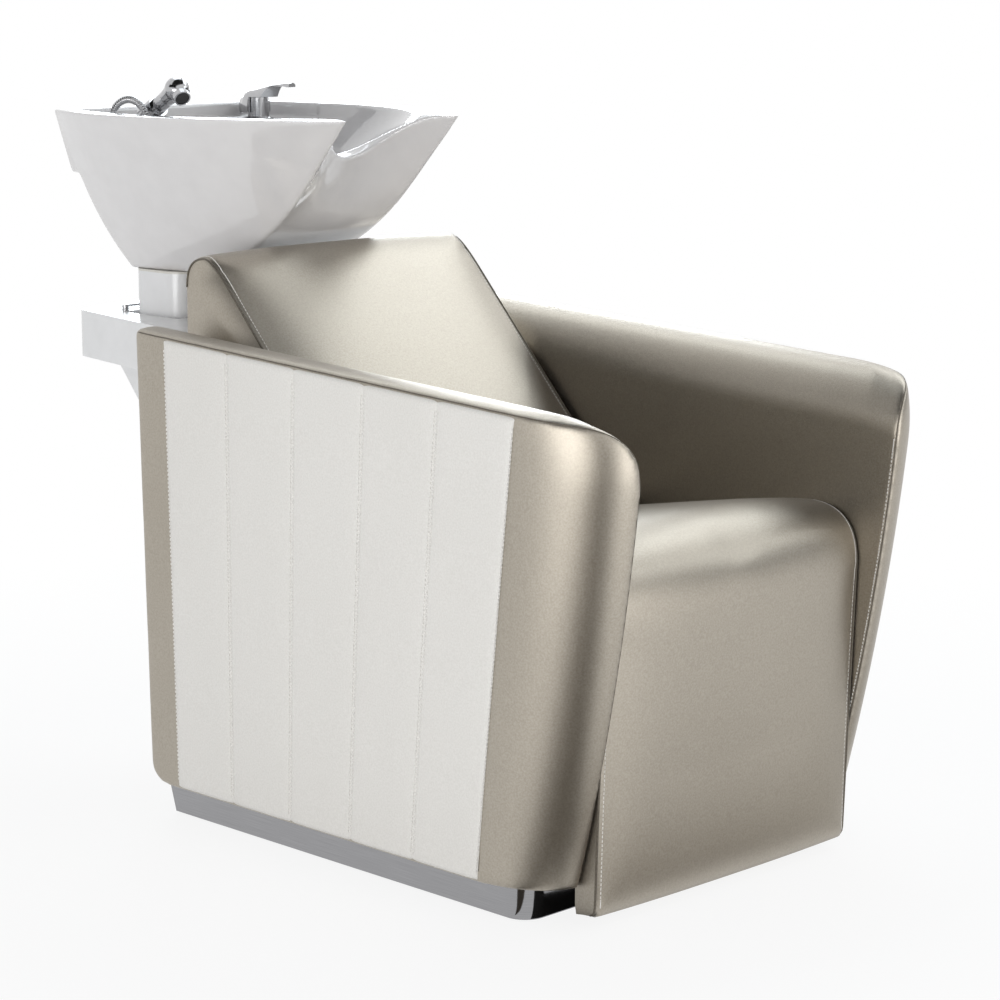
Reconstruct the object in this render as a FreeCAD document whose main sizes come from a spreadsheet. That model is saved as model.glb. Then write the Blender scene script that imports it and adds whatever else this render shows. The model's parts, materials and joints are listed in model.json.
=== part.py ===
"""Salon backwash unit: a padded shampoo chair with a tilting ceramic basin on a rear column.

Millimetres, +Z up. The origin lies on the floor under the middle of the unit, the sitter
faces -Y and X = 0 is the plane of symmetry.
"""
import FreeCAD
import Part
import Sketcher
import math
import os
import re

from FreeCAD import Placement, Rotation, Vector

# Driving dimensions, in millimetres, degrees or counts. Names that end in _front, _rear or _line
# are places along Y, and those that end in _top, _foot or _level are heights above the floor.
DIMENSIONS = {
    # Plinth, frame and feet
    "plinth_inset": 37.5, "plinth_front": -464, "plinth_rear": 219, "plinth_top": 48,
    "plinth_corner": 36, "plinth_draft": 6, "plinth_sheet": 2, "floor_gap": 2,
    "frame_inset": 12, "frame_tube": 36, "foot_height": 12, "foot_radius": 19,
    "foot_inset": 60, "stem_radius": 5,
    # Arms
    "chair_width": 652, "arm_thickness": 86, "arm_lean": 12, "arm_rear": 230,
    "arm_sections": 3, "arm_front": -612, "arm_shin_line": -573, "arm_toe_line": -508, "arm_rear_top": 667,
    "arm_front_top": 626, "arm_nose": 120, "arm_corner": 57, "arm_heel": 34, "arm_roll": 40,
    "arm_board": 18, "arm_board_margin": 55,
    # Quilted side panels
    "panel_thickness": 10, "panel_rear": 166, "panel_front": -482, "panel_toe_line": -407,
    "panel_margin": 3, "channel_count": 5, "channel_crown": 5,
    # Seat
    "seat_gap": 6, "seat_front": -549, "seat_top": 459, "seat_crown": 15, "seat_tilt": 10,
    "seat_nose": 74, "seat_pad": 92, "seat_tuck": 7, "skirt_foot": 21,
    "skirt_pad": 34, "skirt_rake": 14, "seat_board": 18, "skirt_board": 15, "carcass_board": 18,
    # Backrest
    "back_gap": 10, "back_rear": 236, "back_top": 761, "back_crown": 9, "back_recline": 42.9,
    "back_head": 58, "back_round": 44, "back_pad": 62, "back_board": 15, "back_foot": 300,
    "pad_clearance": 0.3,
    # Basin
    "rim_top": 940, "rim_rear": 567, "rim_front": 49, "rim_rear_half": 197, "rim_front_half": 103,
    "rim_flare": 6, "rim_bulge": 73, "rim_width": 27, "lip_drop": 56, "lip_depth": 96, "lip_half": 96,
    "basin_foot": 716, "foot_half": 125, "foot_front": 352, "belly_rear": 562, "apron_wall": 14,
    "deck_top": 916, "deck_front": 442, "deck_skirt": 90, "deck_overhang": 19, "bowl_floor": 768,
    "front_wall": 17,
    "void_top": 902, "void_foot": 862,
    # Drain
    "drain_line": 416, "drain_flange_radius": 27, "drain_bore": 17, "drain_wall": 2,
    "drain_hole": 20, "drain_flange": 3, "drain_tail": 96, "strainer_radius": 25,
    "strainer_plate": 2.5, "strainer_depth": 16, "strainer_slots": 8, "strainer_hub": 5, "strainer_slot": 3,
    "drain_nut_radius": 27,
    # Neck and tilt gear
    "neck_half": 125, "neck_rear": 488, "neck_front": 386, "neck_corner": 24, "neck_wall": 4,
    "neck_dip": 18, "pivot_line": 437, "pivot_level": 606, "pivot_radius": 8, "pivot_fit": 0.05,
    "fork_half": 60, "fork_plate": 6, "yoke_gap": 1, "yoke_plate": 6, "saddle_plate": 8,
    "gasket": 3, "bush_wall": 2, "pin_head": 4,
    "lock_half": 118, "lock_post": 5, "lock_set": 4, "lock_height": 9, "lock_arm": 3.5, "lock_reach": 26,
    # Housing
    "shelf_top": 652, "shelf_height": 67, "shelf_wall": 5, "shelf_rear": 605.5,
    "shelf_corner_line": 570, "shelf_rear_half": 158, "shelf_front_half": 222,
    "shelf_slot_rear": 16, "shelf_slot_gap": 4, "housing_step": 36, "housing_wall": 4,
    "housing_rear": 375, "housing_knee_level": 326, "housing_rear_half": 86,
    "housing_front_half": 116, "hatch_half": 58, "hatch_foot": 70, "hatch_top": 280,
    "hatch_plate": 3, "hatch_lap": 9,
    # Post and floor plate
    "post_size": 50, "post_line": 308, "post_top": 552, "floor_plate": 8, "anchor_edge": 16,
    "anchor_pitch_wide": 118, "anchor_pitch_deep": 72, "anchor_radius": 6,
    # Mixer
    "mixer_half": 134, "mixer_line": 508, "mixer_radius": 15.5, "mixer_foot": 21, "mixer_body_top": 948,
    "mixer_step": 2.5, "mixer_foot_rise": 4, "mixer_socket": 8, "mixer_socket_depth": 12, "mixer_shank": 11,
    "mixer_shank_proud": 16, "mixer_hole": 12, "mixer_nut": 17, "mixer_nut_height": 8, "stem_fit": 0.3,
    "stem_ball": 6, "hood_sections": 12, "hood_half": 23, "hood_rear": 33, "hood_gap": 10, "hood_fit": 0.8,
    "hood_crown": 12, "lever_reach": 76, "lever_width": 13, "lever_rise": 11, "lever_lift": 12,
    # Hand shower
    "spray_half": 100, "spray_ball_line": 407, "spray_ball_level": 970, "spray_ball": 18,
    "spray_handle": 12, "spray_length": 77, "spray_lift": 30, "spray_nozzle": 12, "spray_brim": 4,
    "spray_taper": 16, "spray_neck": 26, "spray_recess": 4, "spray_rim": 2, "spray_face": 2.5,
    "spray_face_fit": 0.3,
    "holder_wall": 3, "holder_sleeve": 34, "holder_fit": 0.3, "holder_stop": 6,
    "holder_set_back": 8, "holder_base": 4,
    "hose_half": 122, "hose_radius": 5.2, "hose_bore": 3.6, "hose_arch": 48, "hose_arch_line": 488,
    "hose_arch_level": 954, "hose_pitch": 3.4, "hose_groove": 0.7, "hose_end_level": 929,
    "ferrule_radius": 8,
}


def open_sheet(document):
    """Put the driving dimensions into a spreadsheet, one aliased cell each."""
    sheet = document.addObject("Spreadsheet::Sheet", "dims")
    for row, (alias, value) in enumerate(DIMENSIONS.items(), start=1):
        sheet.set(f"A{row}", alias)
        sheet.set(f"B{row}", str(value))
        sheet.setAlias(f"B{row}", alias)
    document.recompute()
    return sheet


doc = FreeCAD.newDocument("backwash_unit")
dims = open_sheet(doc)
nodes = []
NAME = re.compile(r"[a-z][a-z_]*")


def tied(expression):
    """Point every dimension's name in an expression at its cell."""
    return NAME.sub(lambda m: f"dims.{m[0]}" if m[0] in DIMENSIONS else m[0], expression)


def bind(obj, **expressions):
    """Bind an object's properties to expressions of the driving dimensions."""
    for name, expression in expressions.items():
        obj.setExpression(name, tied(expression))
    return obj


def place(obj, x="0", y="0", z="0", rotation=None):
    """Turn an object and bind where its own origin stands."""
    if rotation:
        obj.Placement = Placement(Vector(), rotation)
    for axis, expression in zip("xyz", (x, y, z)):
        obj.setExpression(f"Placement.Base.{axis}", tied(expression))
    return obj


def node(label, obj):
    """Name a finished piece."""
    obj.Label = label
    nodes.append(obj)
    return obj


def block(size, corner):
    """A rectangular block with bound sides and corner."""
    box = doc.addObject("Part::Box", "block")
    bind(box, Length=size[0], Width=size[1], Height=size[2])
    return place(box, *corner)


def rod(radius, length, start, along="z"):
    """A round bar with bound radius, length and start, along one of the axes."""
    bar = doc.addObject("Part::Cylinder", "rod")
    bind(bar, Radius=radius, Height=length)
    turns = {"x": Rotation(Vector(0, 1, 0), 90), "y": Rotation(Vector(1, 0, 0), -90), "z": None}
    return place(bar, *start, rotation=turns[along])


def joined(*pieces):
    fuse = doc.addObject("Part::MultiFuse", "joined")
    fuse.Shapes = list(pieces)
    return fuse


def less(base, *tools):
    for tool in tools:
        cut = doc.addObject("Part::Cut", "less")
        cut.Base = base
        cut.Tool = tool
        base = cut
    return base


def together(*pieces):
    """Separate solids that share one node."""
    group = doc.addObject("Part::Compound", "together")
    group.Links = list(pieces)
    return group


def formed(label, shape):
    """A piece whose free form is worked out from the sheet's values."""
    piece = doc.addObject("Part::Feature", label)
    piece.Shape = shape
    return node(label, piece)


def origin_plane(body, role):
    return next(f for f in body.Origin.OriginFeatures if f.Role == role)


def outline_sketch(body, role, points):
    """A closed sketch of straight runs whose corners are bound to the dimensions."""
    sketch = body.newObject("Sketcher::SketchObject", "outline")
    sketch.AttachmentSupport = [(origin_plane(body, role), "")]
    sketch.MapMode = "FlatFace"
    count = len(points)
    for index in range(count):
        start = Vector(index, index * index, 0)
        end = Vector((index + 1) % count, ((index + 1) % count) ** 2, 0)
        sketch.addGeometry(Part.LineSegment(start, end), False)
    for index in range(count):
        sketch.addConstraint(Sketcher.Constraint("Coincident", index, 2, (index + 1) % count, 1))
    for index, corner in enumerate(points):
        for kind, expression in zip(("DistanceX", "DistanceY"), corner):
            number = sketch.addConstraint(Sketcher.Constraint(kind, -1, 1, index, 1, 1.0))
            sketch.setExpression(f"Constraints[{number}]", tied(expression))
    return sketch


def plate(role, points, thickness):
    """A body padded from an outline on one of its origin planes."""
    body = doc.addObject("PartDesign::Body", "plate")
    sketch = outline_sketch(body, role, points)
    pad = body.newObject("PartDesign::Pad", "pad")
    pad.Profile = sketch
    bind(pad, Length=thickness)
    sketch.Visibility = False
    return body


def turned(points):
    """A body turned round its own Z axis from corners given as radius and height."""
    body = doc.addObject("PartDesign::Body", "turned")
    sketch = outline_sketch(body, "XZ_Plane", points)
    spin = body.newObject("PartDesign::Revolution", "spin")
    spin.Profile = sketch
    spin.ReferenceAxis = (sketch, ["V_Axis"])
    spin.Angle = 360
    return body


def slab(profile, x_start, width):
    """A closed side profile of edges in the YZ plane, drawn out along X."""
    face = Part.Face(Part.Wire(profile))
    solid = face.extrude(Vector(width, 0, 0))
    solid.translate(Vector(x_start, 0, 0))
    return solid


def run(*points):
    """Straight edges through points."""
    return [Part.makeLine(a, b) for a, b in zip(points, points[1:])]


def curve(*poles):
    """One smooth edge steered by its poles."""
    bezier = Part.BezierCurve()
    bezier.setPoles(list(poles))
    return bezier.toShape()


def mirrored(shape):
    return shape.mirror(Vector(), Vector(1, 0, 0))


def side(y, z):
    return Vector(0, y, z)


def plan(x, y, z=0):
    return Vector(x, y, z)


def build_base():
    """Polished plinth skirt round a welded frame on four screwed feet."""
    half = dims.chair_width / 2 - dims.plinth_inset

    def ring(inset, level):
        w = half - inset
        front = dims.plinth_front + inset
        rear = dims.plinth_rear - inset
        r = dims.plinth_corner - inset
        k = r * math.sqrt(0.5)
        return Part.Wire([
            Part.makeLine(plan(w, rear, level), plan(w, front + r, level)),
            Part.Arc(plan(w, front + r, level), plan(w - r + k, front + r - k, level),
                     plan(w - r, front, level)).toShape(),
            Part.makeLine(plan(w - r, front, level), plan(r - w, front, level)),
            Part.Arc(plan(r - w, front, level), plan(r - w - k, front + r - k, level),
                     plan(-w, front + r, level)).toShape(),
            Part.makeLine(plan(-w, front + r, level), plan(-w, rear, level)),
            Part.makeLine(plan(-w, rear, level), plan(w, rear, level)),
        ])

    foot = dims.floor_gap
    sheet = dims.plinth_sheet
    outer = Part.makeLoft([ring(dims.plinth_draft, foot), ring(0, dims.plinth_top)], True, True)
    inner = Part.makeLoft([ring(dims.plinth_draft + sheet, foot), ring(sheet, dims.plinth_top)],
                          True, True)
    formed("plinth_skirt", outer.cut(inner))

    inset = "(plinth_draft + plinth_sheet + frame_inset)"
    wide = f"(chair_width - 2 * plinth_inset - 2 * {inset})"
    deep = f"(plinth_rear - plinth_front - 2 * {inset})"
    tall = "(plinth_top - foot_height)"
    corner = (f"-{wide} / 2", f"plinth_front + {inset}", "foot_height")
    ring_block = block((wide, deep, tall), corner)
    opening = block((f"{wide} - 2 * frame_tube", f"{deep} - 2 * frame_tube", f"{tall} + 2"),
                    (f"{corner[0]} + frame_tube", f"{corner[1]} + frame_tube", f"{corner[2]} - 1"))
    middle = block((f"{wide} - 2 * frame_tube", "frame_tube", tall),
                   (f"{corner[0]} + frame_tube", "(plinth_front + plinth_rear - frame_tube) / 2",
                    "foot_height"))
    node("base_frame", joined(less(ring_block, opening), middle))

    feet = []
    for sx in "-", "":
        for y in f"{corner[1]} + foot_inset", f"plinth_rear - {inset} - foot_inset":
            x = f"{sx}({wide} - frame_tube) / 2"
            pad = rod("foot_radius", "foot_height / 2", (x, y, "0"))
            stem = rod("stem_radius", "foot_height", (x, y, "0"))
            feet.append(joined(pad, stem))
    node("levelling_feet", together(*feet))


def arm_top_level(y):
    """Height of the sloping arm top."""
    share = (dims.arm_rear - y) / (dims.arm_rear - dims.arm_front)
    return dims.arm_rear_top + share * (dims.arm_front_top - dims.arm_rear_top)


def arm_solid():
    """The right arm: sloping top, leaning outer face, a front rounded in plan and in profile."""
    outer = dims.chair_width / 2
    inner = outer - dims.arm_thickness
    foot = dims.plinth_top
    toe = dims.arm_toe_line - dims.arm_front
    rise = dims.arm_front_top - foot
    belly = (dims.arm_front + dims.arm_toe_line) / 2 - dims.arm_shin_line

    def footprint(level):
        share = (dims.arm_front_top - level) / rise
        shift = toe * share - 4 * belly * share * (1 - share)
        lean = dims.arm_lean * (dims.arm_rear_top - level) / (dims.arm_rear_top - foot)
        tip = dims.arm_front + shift
        out = outer - lean
        nose = tip + dims.arm_nose
        heel = 0.35 * dims.arm_heel
        return Part.Wire([
            Part.makeLine(plan(inner, dims.arm_rear, level), plan(inner, tip, level)),
            curve(plan(inner, tip, level), plan(inner + 0.62 * (out - inner), tip, level),
                  plan(out, nose - 0.55 * dims.arm_nose, level), plan(out, nose, level)),
            Part.makeLine(plan(out, nose, level), plan(out, dims.arm_rear - heel, level)),
            Part.makeLine(plan(out, dims.arm_rear - heel, level),
                          plan(out - heel, dims.arm_rear, level)),
            Part.makeLine(plan(out - heel, dims.arm_rear, level),
                          plan(inner, dims.arm_rear, level)),
        ])

    over = dims.arm_rear_top + 5
    steps = int(dims.arm_sections)
    levels = [foot + (over - foot) * index / steps for index in range(steps + 1)]
    body = Part.makeLoft([footprint(level) for level in levels], True, False)

    r = dims.arm_corner
    heel = dims.arm_heel
    front = dims.arm_front - 5
    slope = (dims.arm_rear_top - dims.arm_front_top) / (dims.arm_rear - dims.arm_front)
    brow = side(dims.arm_front + r, arm_top_level(dims.arm_front + r))
    chin = side(dims.arm_front + 0.15 * r, dims.arm_front_top - r)
    profile = run(side(front, foot), side(dims.arm_rear - heel, foot))
    profile.append(curve(side(dims.arm_rear - heel, foot), side(dims.arm_rear, foot),
                         side(dims.arm_rear, foot + heel)))
    profile += run(side(dims.arm_rear, foot + heel), side(dims.arm_rear, dims.arm_rear_top), brow)
    profile.append(curve(brow, side(dims.arm_front + 0.1 * r, brow.z - 0.9 * r * slope), chin))
    profile += run(chin, side(front, dims.arm_front_top - 2 * r), side(front, foot))
    body = body.common(slab(profile, inner - 1, dims.arm_thickness + 2))

    roll = dims.arm_roll
    cap = Part.makeBox(roll, dims.arm_rear - dims.arm_front, 2 * dims.arm_rear_top)
    cap.translate(Vector(inner, dims.arm_front, 0))
    shoulder = run(plan(inner, dims.arm_rear, foot), plan(inner, dims.arm_rear, dims.arm_rear_top - roll))
    shoulder.append(curve(plan(inner, dims.arm_rear, dims.arm_rear_top - roll),
                          plan(inner, dims.arm_rear, dims.arm_rear_top),
                          plan(inner + roll, dims.arm_rear, dims.arm_rear_top)))
    shoulder += run(plan(inner + roll, dims.arm_rear, dims.arm_rear_top),
                    plan(inner + roll, dims.arm_rear, foot), plan(inner, dims.arm_rear, foot))
    length = dims.arm_rear - dims.arm_front
    rolled = Part.Face(Part.Wire(shoulder)).extrude(Vector(0, -length, -slope * length))
    return body.cut(cap.cut(rolled))


def panel_solid(spare=0.0, proud=0.0):
    """The right quilted side panel: crowned upright channels that fan out towards the top."""
    outer = dims.chair_width / 2
    foot = dims.plinth_top + dims.panel_margin - spare
    count = int(dims.channel_count)

    def strip(level):
        share = (level - dims.plinth_top) / (dims.arm_rear_top - dims.plinth_top)
        out = outer - dims.arm_lean * (1 - share)
        back = out - dims.panel_thickness
        rear = dims.panel_rear + spare
        front = dims.panel_toe_line + share * (dims.panel_front - dims.panel_toe_line) - spare
        step = (front - rear) / count
        seam = out - dims.channel_crown
        edges = []
        if proud:
            seam = out + proud
            edges += run(plan(seam, rear, level), plan(seam, front, level))
        for index in range(0 if proud else count):
            a = plan(seam, rear + index * step, level)
            b = plan(seam, rear + (index + 1) * step, level)
            edges.append(Part.Arc(a, plan(out, (a.y + b.y) / 2, level), b).toShape())
        edges += run(plan(seam, front, level), plan(back, front, level), plan(back, rear, level),
                     plan(seam, rear, level))
        return Part.Wire(edges)

    panel = Part.makeLoft([strip(foot), strip(dims.arm_rear_top)], True, True)
    far = dims.arm_rear_top * 2
    y0 = dims.arm_rear
    y1 = dims.arm_front
    sink = dims.panel_margin - spare
    cover = slab(run(side(y0, arm_top_level(y0) - sink), side(y1, arm_top_level(y1) - sink),
                     side(y1, far), side(y0, far), side(y0, arm_top_level(y0) - sink)), 0, 2 * outer)
    return panel.cut(cover)


def board_profile():
    """Side view of the board that stiffens an arm."""
    margin = dims.arm_board_margin
    rear = dims.arm_rear - margin
    front = dims.panel_toe_line
    return run(side(rear, dims.plinth_top), side(front, dims.plinth_top),
               side(front, arm_top_level(front) - margin), side(rear, arm_top_level(rear) - margin),
               side(rear, dims.plinth_top))


def build_arms():
    """Two padded arms, each on a board that stands on the frame, with a quilted outer panel."""
    inner = dims.chair_width / 2 - dims.arm_thickness
    board = slab(board_profile(), inner + dims.arm_board, dims.arm_board)
    recess = panel_solid(dims.pad_clearance, dims.panel_thickness)
    pad = arm_solid().cut(recess).cut(board)
    panel = panel_solid()
    for name, hand in (("right", lambda s: s), ("left", mirrored)):
        formed(f"arm_board_{name}", hand(board))
        formed(f"arm_pad_{name}", hand(pad))
        formed(f"side_panel_{name}", hand(panel))


def seat_frame():
    """Places that the seat's pieces share, seen from the side."""
    tilt = math.tan(math.radians(dims.seat_tilt))
    crest = dims.seat_front + dims.seat_nose
    recline = math.tan(math.radians(dims.back_recline))

    def seat_level(y):
        return dims.seat_top - (y - crest) * tilt

    def back_line(z, depth=0.0):
        head = dims.back_rear - dims.back_head
        return head - (dims.back_top - z) * recline + depth / math.cos(math.radians(dims.back_recline))

    return crest, seat_level, back_line


def back_foot_point(depth, spare=0.0):
    """Where a line parallel to the back's front face comes down on the seat."""
    crest, level, back_line = seat_frame()
    recline = math.tan(math.radians(dims.back_recline))
    tilt = math.tan(math.radians(dims.seat_tilt))
    lift = 0.75 * dims.seat_crown + spare
    base = dims.seat_top + lift
    top_y = back_line(base, depth)
    drop = (top_y - crest) * tilt / (1 - recline * tilt * -1)
    z = base - drop
    return side(back_line(z, depth), z)


def seat_rear_line():
    """The seat ends under the foot of the back board."""
    return back_foot_point(dims.back_pad + dims.back_board).y


def build_seat():
    """Waterfall seat pad on a sloping board, with its hanging front skirt on a second board."""
    half = dims.chair_width / 2 - dims.arm_thickness - dims.seat_gap
    crest, level, back_line = seat_frame()
    front = dims.seat_front
    thick = dims.seat_pad
    skirt = dims.skirt_pad
    foot = dims.skirt_foot
    board_front = front + skirt + dims.pad_clearance
    rear_top = seat_rear_line()

    def profile(x, crown, tuck):
        up = Vector(x, 0, 0)
        toe = front + dims.skirt_rake + tuck
        brow = front + tuck
        heel = front + skirt
        bottom = thick
        peak = level(crest) + crown - tuck
        points = {
            "toe": side(toe, foot + skirt / 2), "brow": side(brow, level(crest) - dims.seat_nose),
            "crest": side(crest, peak), "rear": side(rear_top, level(rear_top) + crown / 2 - tuck),
            "rear_foot": side(rear_top, level(rear_top) - bottom),
            "knee": side(heel, level(heel) - bottom), "heel": side(heel, foot + skirt / 2),
        }
        p = {key: point + up for key, point in points.items()}
        edges = [curve(p["heel"], side(heel, foot) + up, side((toe + heel) / 2, foot) + up),
                 curve(side((toe + heel) / 2, foot) + up, side(toe, foot) + up, p["toe"])]
        edges += run(p["toe"], p["brow"])
        edges.append(curve(p["brow"], side(brow, peak) + up, p["crest"]))
        edges += run(p["crest"], p["rear"], p["rear_foot"], p["knee"], p["heel"])
        return Part.Wire(edges)

    crown = dims.seat_crown
    tuck = dims.seat_tuck
    stations = [(-half, 0, tuck), (-0.86 * half, 0.35 * crown, 0), (0, crown, 0),
                (0.86 * half, 0.35 * crown, 0), (half, 0, tuck)]
    formed("seat_pad", Part.makeLoft([profile(*s) for s in stations], True, False))

    lower = thick + dims.pad_clearance
    y0 = board_front + dims.skirt_board
    y1 = rear_top
    thick_board = dims.seat_board
    board = run(side(y0, level(y0) - lower), side(y1, level(y1) - lower),
                side(y1, level(y1) - lower - thick_board), side(y0, level(y0) - lower - thick_board),
                side(y0, level(y0) - lower))
    formed("seat_board", slab(board, -half, 2 * half))

    y2 = board_front
    apron_foot = dims.plinth_top + dims.pad_clearance
    apron = run(side(y2, apron_foot), side(y0, apron_foot), side(y0, level(y0) - lower),
                side(y2, level(y2) - lower), side(y2, apron_foot))
    formed("skirt_board", slab(apron, -half, 2 * half))

    wall = dims.carcass_board

    def leg(y):
        sole = dims.plinth_top
        cap = lower + thick_board
        return run(side(y, sole), side(y + wall, sole), side(y + wall, level(y + wall) - cap),
                   side(y, level(y) - cap), side(y, sole))

    tie = dims.plinth_front + dims.plinth_draft + dims.plinth_sheet + dims.frame_inset
    formed("seat_front_bearer", slab(leg(tie), -half, 2 * half))
    middle = (dims.plinth_front + dims.plinth_rear - dims.frame_tube) / 2
    formed("seat_rear_bearer", slab(leg(middle), -half, 2 * half))


def build_backrest():
    """Reclined back pad over a board, closed by a rear panel and two cheeks."""
    half = dims.chair_width / 2 - dims.arm_thickness - dims.back_gap
    crest, level, back_line = seat_frame()
    rear = dims.back_rear
    top = dims.back_top
    board = dims.back_board
    rounding = dims.back_round
    foot = dims.back_foot
    depth = dims.back_pad
    inner_rear = rear - board
    gap = dims.pad_clearance
    knee = (dims.back_rear - dims.back_head - inner_rear) / math.tan(math.radians(dims.back_recline))
    inner_top = top + knee * -1 - depth / math.sin(math.radians(dims.back_recline))

    def profile(x, crown, tuck):
        up = Vector(x, 0, 0)
        head = top + crown - tuck
        lean = tuck
        brow = top - rounding
        toe = back_foot_point(lean, gap)
        heel = back_foot_point(depth, gap)
        edges = run(heel + up, toe + up, side(back_line(brow, lean - crown), brow) + up)
        peak = 0.75 * back_line(top) + 0.25 * rear
        edges.append(curve(side(back_line(brow, lean - crown), brow) + up,
                           side(back_line(head, lean), head) + up, side(peak, head) + up))
        edges.append(curve(side(peak, head) + up, side(rear, head) + up, side(rear, brow) + up))
        edges += run(side(rear, brow) + up, side(rear, inner_top) + up,
                     side(inner_rear, inner_top) + up, heel + up)
        return Part.Wire(edges)

    crown = dims.back_crown
    tuck = dims.seat_tuck
    stations = [(-half, 0, tuck), (-0.86 * half, 0.35 * crown, 0), (0, crown, 0),
                (0.86 * half, 0.35 * crown, 0), (half, 0, tuck)]
    formed("back_pad", Part.makeLoft([profile(*s) for s in stations], True, False))

    cos = math.cos(math.radians(dims.back_recline))
    near = depth + gap
    far = near + board

    def lean_top(offset):
        head = dims.back_rear - dims.back_head
        run_back = (inner_rear - head - offset / cos) / math.tan(math.radians(dims.back_recline))
        return top + run_back

    toe = back_foot_point(near, gap)
    plank = run(toe, side(inner_rear, lean_top(near)), side(inner_rear, lean_top(far)),
                back_foot_point(far, gap), toe)
    formed("back_board", slab(plank, -half, 2 * half))
    panel = run(side(inner_rear, foot), side(rear, foot), side(rear, inner_top - gap),
                side(inner_rear, inner_top - gap), side(inner_rear, foot))
    formed("back_panel", slab(panel, -half, 2 * half))
    ankle = back_foot_point(far + gap, gap)
    cheek = run(ankle, side(inner_rear, lean_top(far + gap)), side(inner_rear, ankle.z), ankle)
    plank_right = slab(cheek, half - board, board)
    formed("back_cheek_right", plank_right)
    formed("back_cheek_left", mirrored(plank_right))
    shoe = run(side(inner_rear - dims.frame_tube, dims.plinth_top), side(inner_rear, dims.plinth_top),
               side(inner_rear, foot), side(inner_rear - dims.frame_tube, foot),
               side(inner_rear - dims.frame_tube, dims.plinth_top))
    formed("back_bearer", slab(shoe, -half, 2 * half))


def basin_row(share):
    """Outline sizes of the basin's hull, from the rim (0) down to its foot (1)."""
    rear = dims.rim_rear - dims.deck_overhang
    sweep = 0.68 * share + 0.32 * share ** 5
    hollow = max(0.0, 1 - share / 0.72)
    front = dims.rim_front + (dims.foot_front - dims.rim_front) * sweep
    return {
        "level": dims.rim_top + share * (dims.basin_foot - dims.rim_top),
        "rear": rear + (dims.neck_rear - rear) * share ** 3,
        "front": front,
        "notch": front + dims.lip_depth * hollow,
        "rear_half": (dims.rim_rear_half + dims.rim_flare * (1 - share)
                      + share * (dims.foot_half - dims.rim_rear_half)),
        "front_half": dims.rim_front_half - 5 * share,
        "bulge": dims.rim_bulge * (1 - 0.94 * share),
    }


def shield(row):
    """A shield-shaped outline: straight rear, bowed sides, hollow front."""
    level = row["level"]
    half = row["rear_half"]
    tip = row["front_half"]
    belly = (half + tip) / 2 + 2 * row["bulge"]
    middle = (row["rear"] + row["front"]) / 2
    ends = plan(half, row["rear"], level), plan(-half, row["rear"], level)
    tips = plan(tip, row["front"], level), plan(-tip, row["front"], level)
    return Part.Wire([
        Part.makeLine(ends[0], ends[1]),
        curve(ends[1], plan(-belly, middle, level), tips[1]),
        curve(tips[1], plan(0, 2 * row["notch"] - row["front"], level), tips[0]),
        curve(tips[0], plan(belly, middle, level), ends[0]),
    ])


def bowl_row(share):
    """Outline sizes of the bowl's inside, from the rim (0) down to its floor (1)."""
    hull = basin_row(0)
    rim = dims.rim_width
    wing = 1.8 * rim
    floor_half = 1.7 * dims.drain_flange_radius
    floor_front = dims.drain_line - 2.4 * dims.drain_flange_radius
    shrink = share ** 2.2
    front = hull["front"] + wing
    half = dims.rim_rear_half + 0.45 * dims.rim_bulge - rim - 12
    hollow = max(0.0, 1 - share / 0.8)
    at = front + (floor_front - front) * (0.75 * share + 0.25 * shrink)
    return {
        "level": dims.rim_top + share * (dims.bowl_floor - dims.rim_top) + (share == 0),
        "rear": dims.deck_front + 3 * share,
        "front": at,
        "notch": at + (dims.lip_depth + dims.front_wall - wing) * hollow,
        "rear_half": half + (floor_half - half) * shrink,
        "front_half": dims.rim_front_half - rim + share * (0.6 * floor_half - dims.rim_front_half + rim),
        "bulge": 0.62 * dims.rim_bulge * (1 - shrink),
    }


def bore(x, y, low, high, radius):
    return Part.makeCylinder(radius, high - low, Vector(x, y, low))


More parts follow.
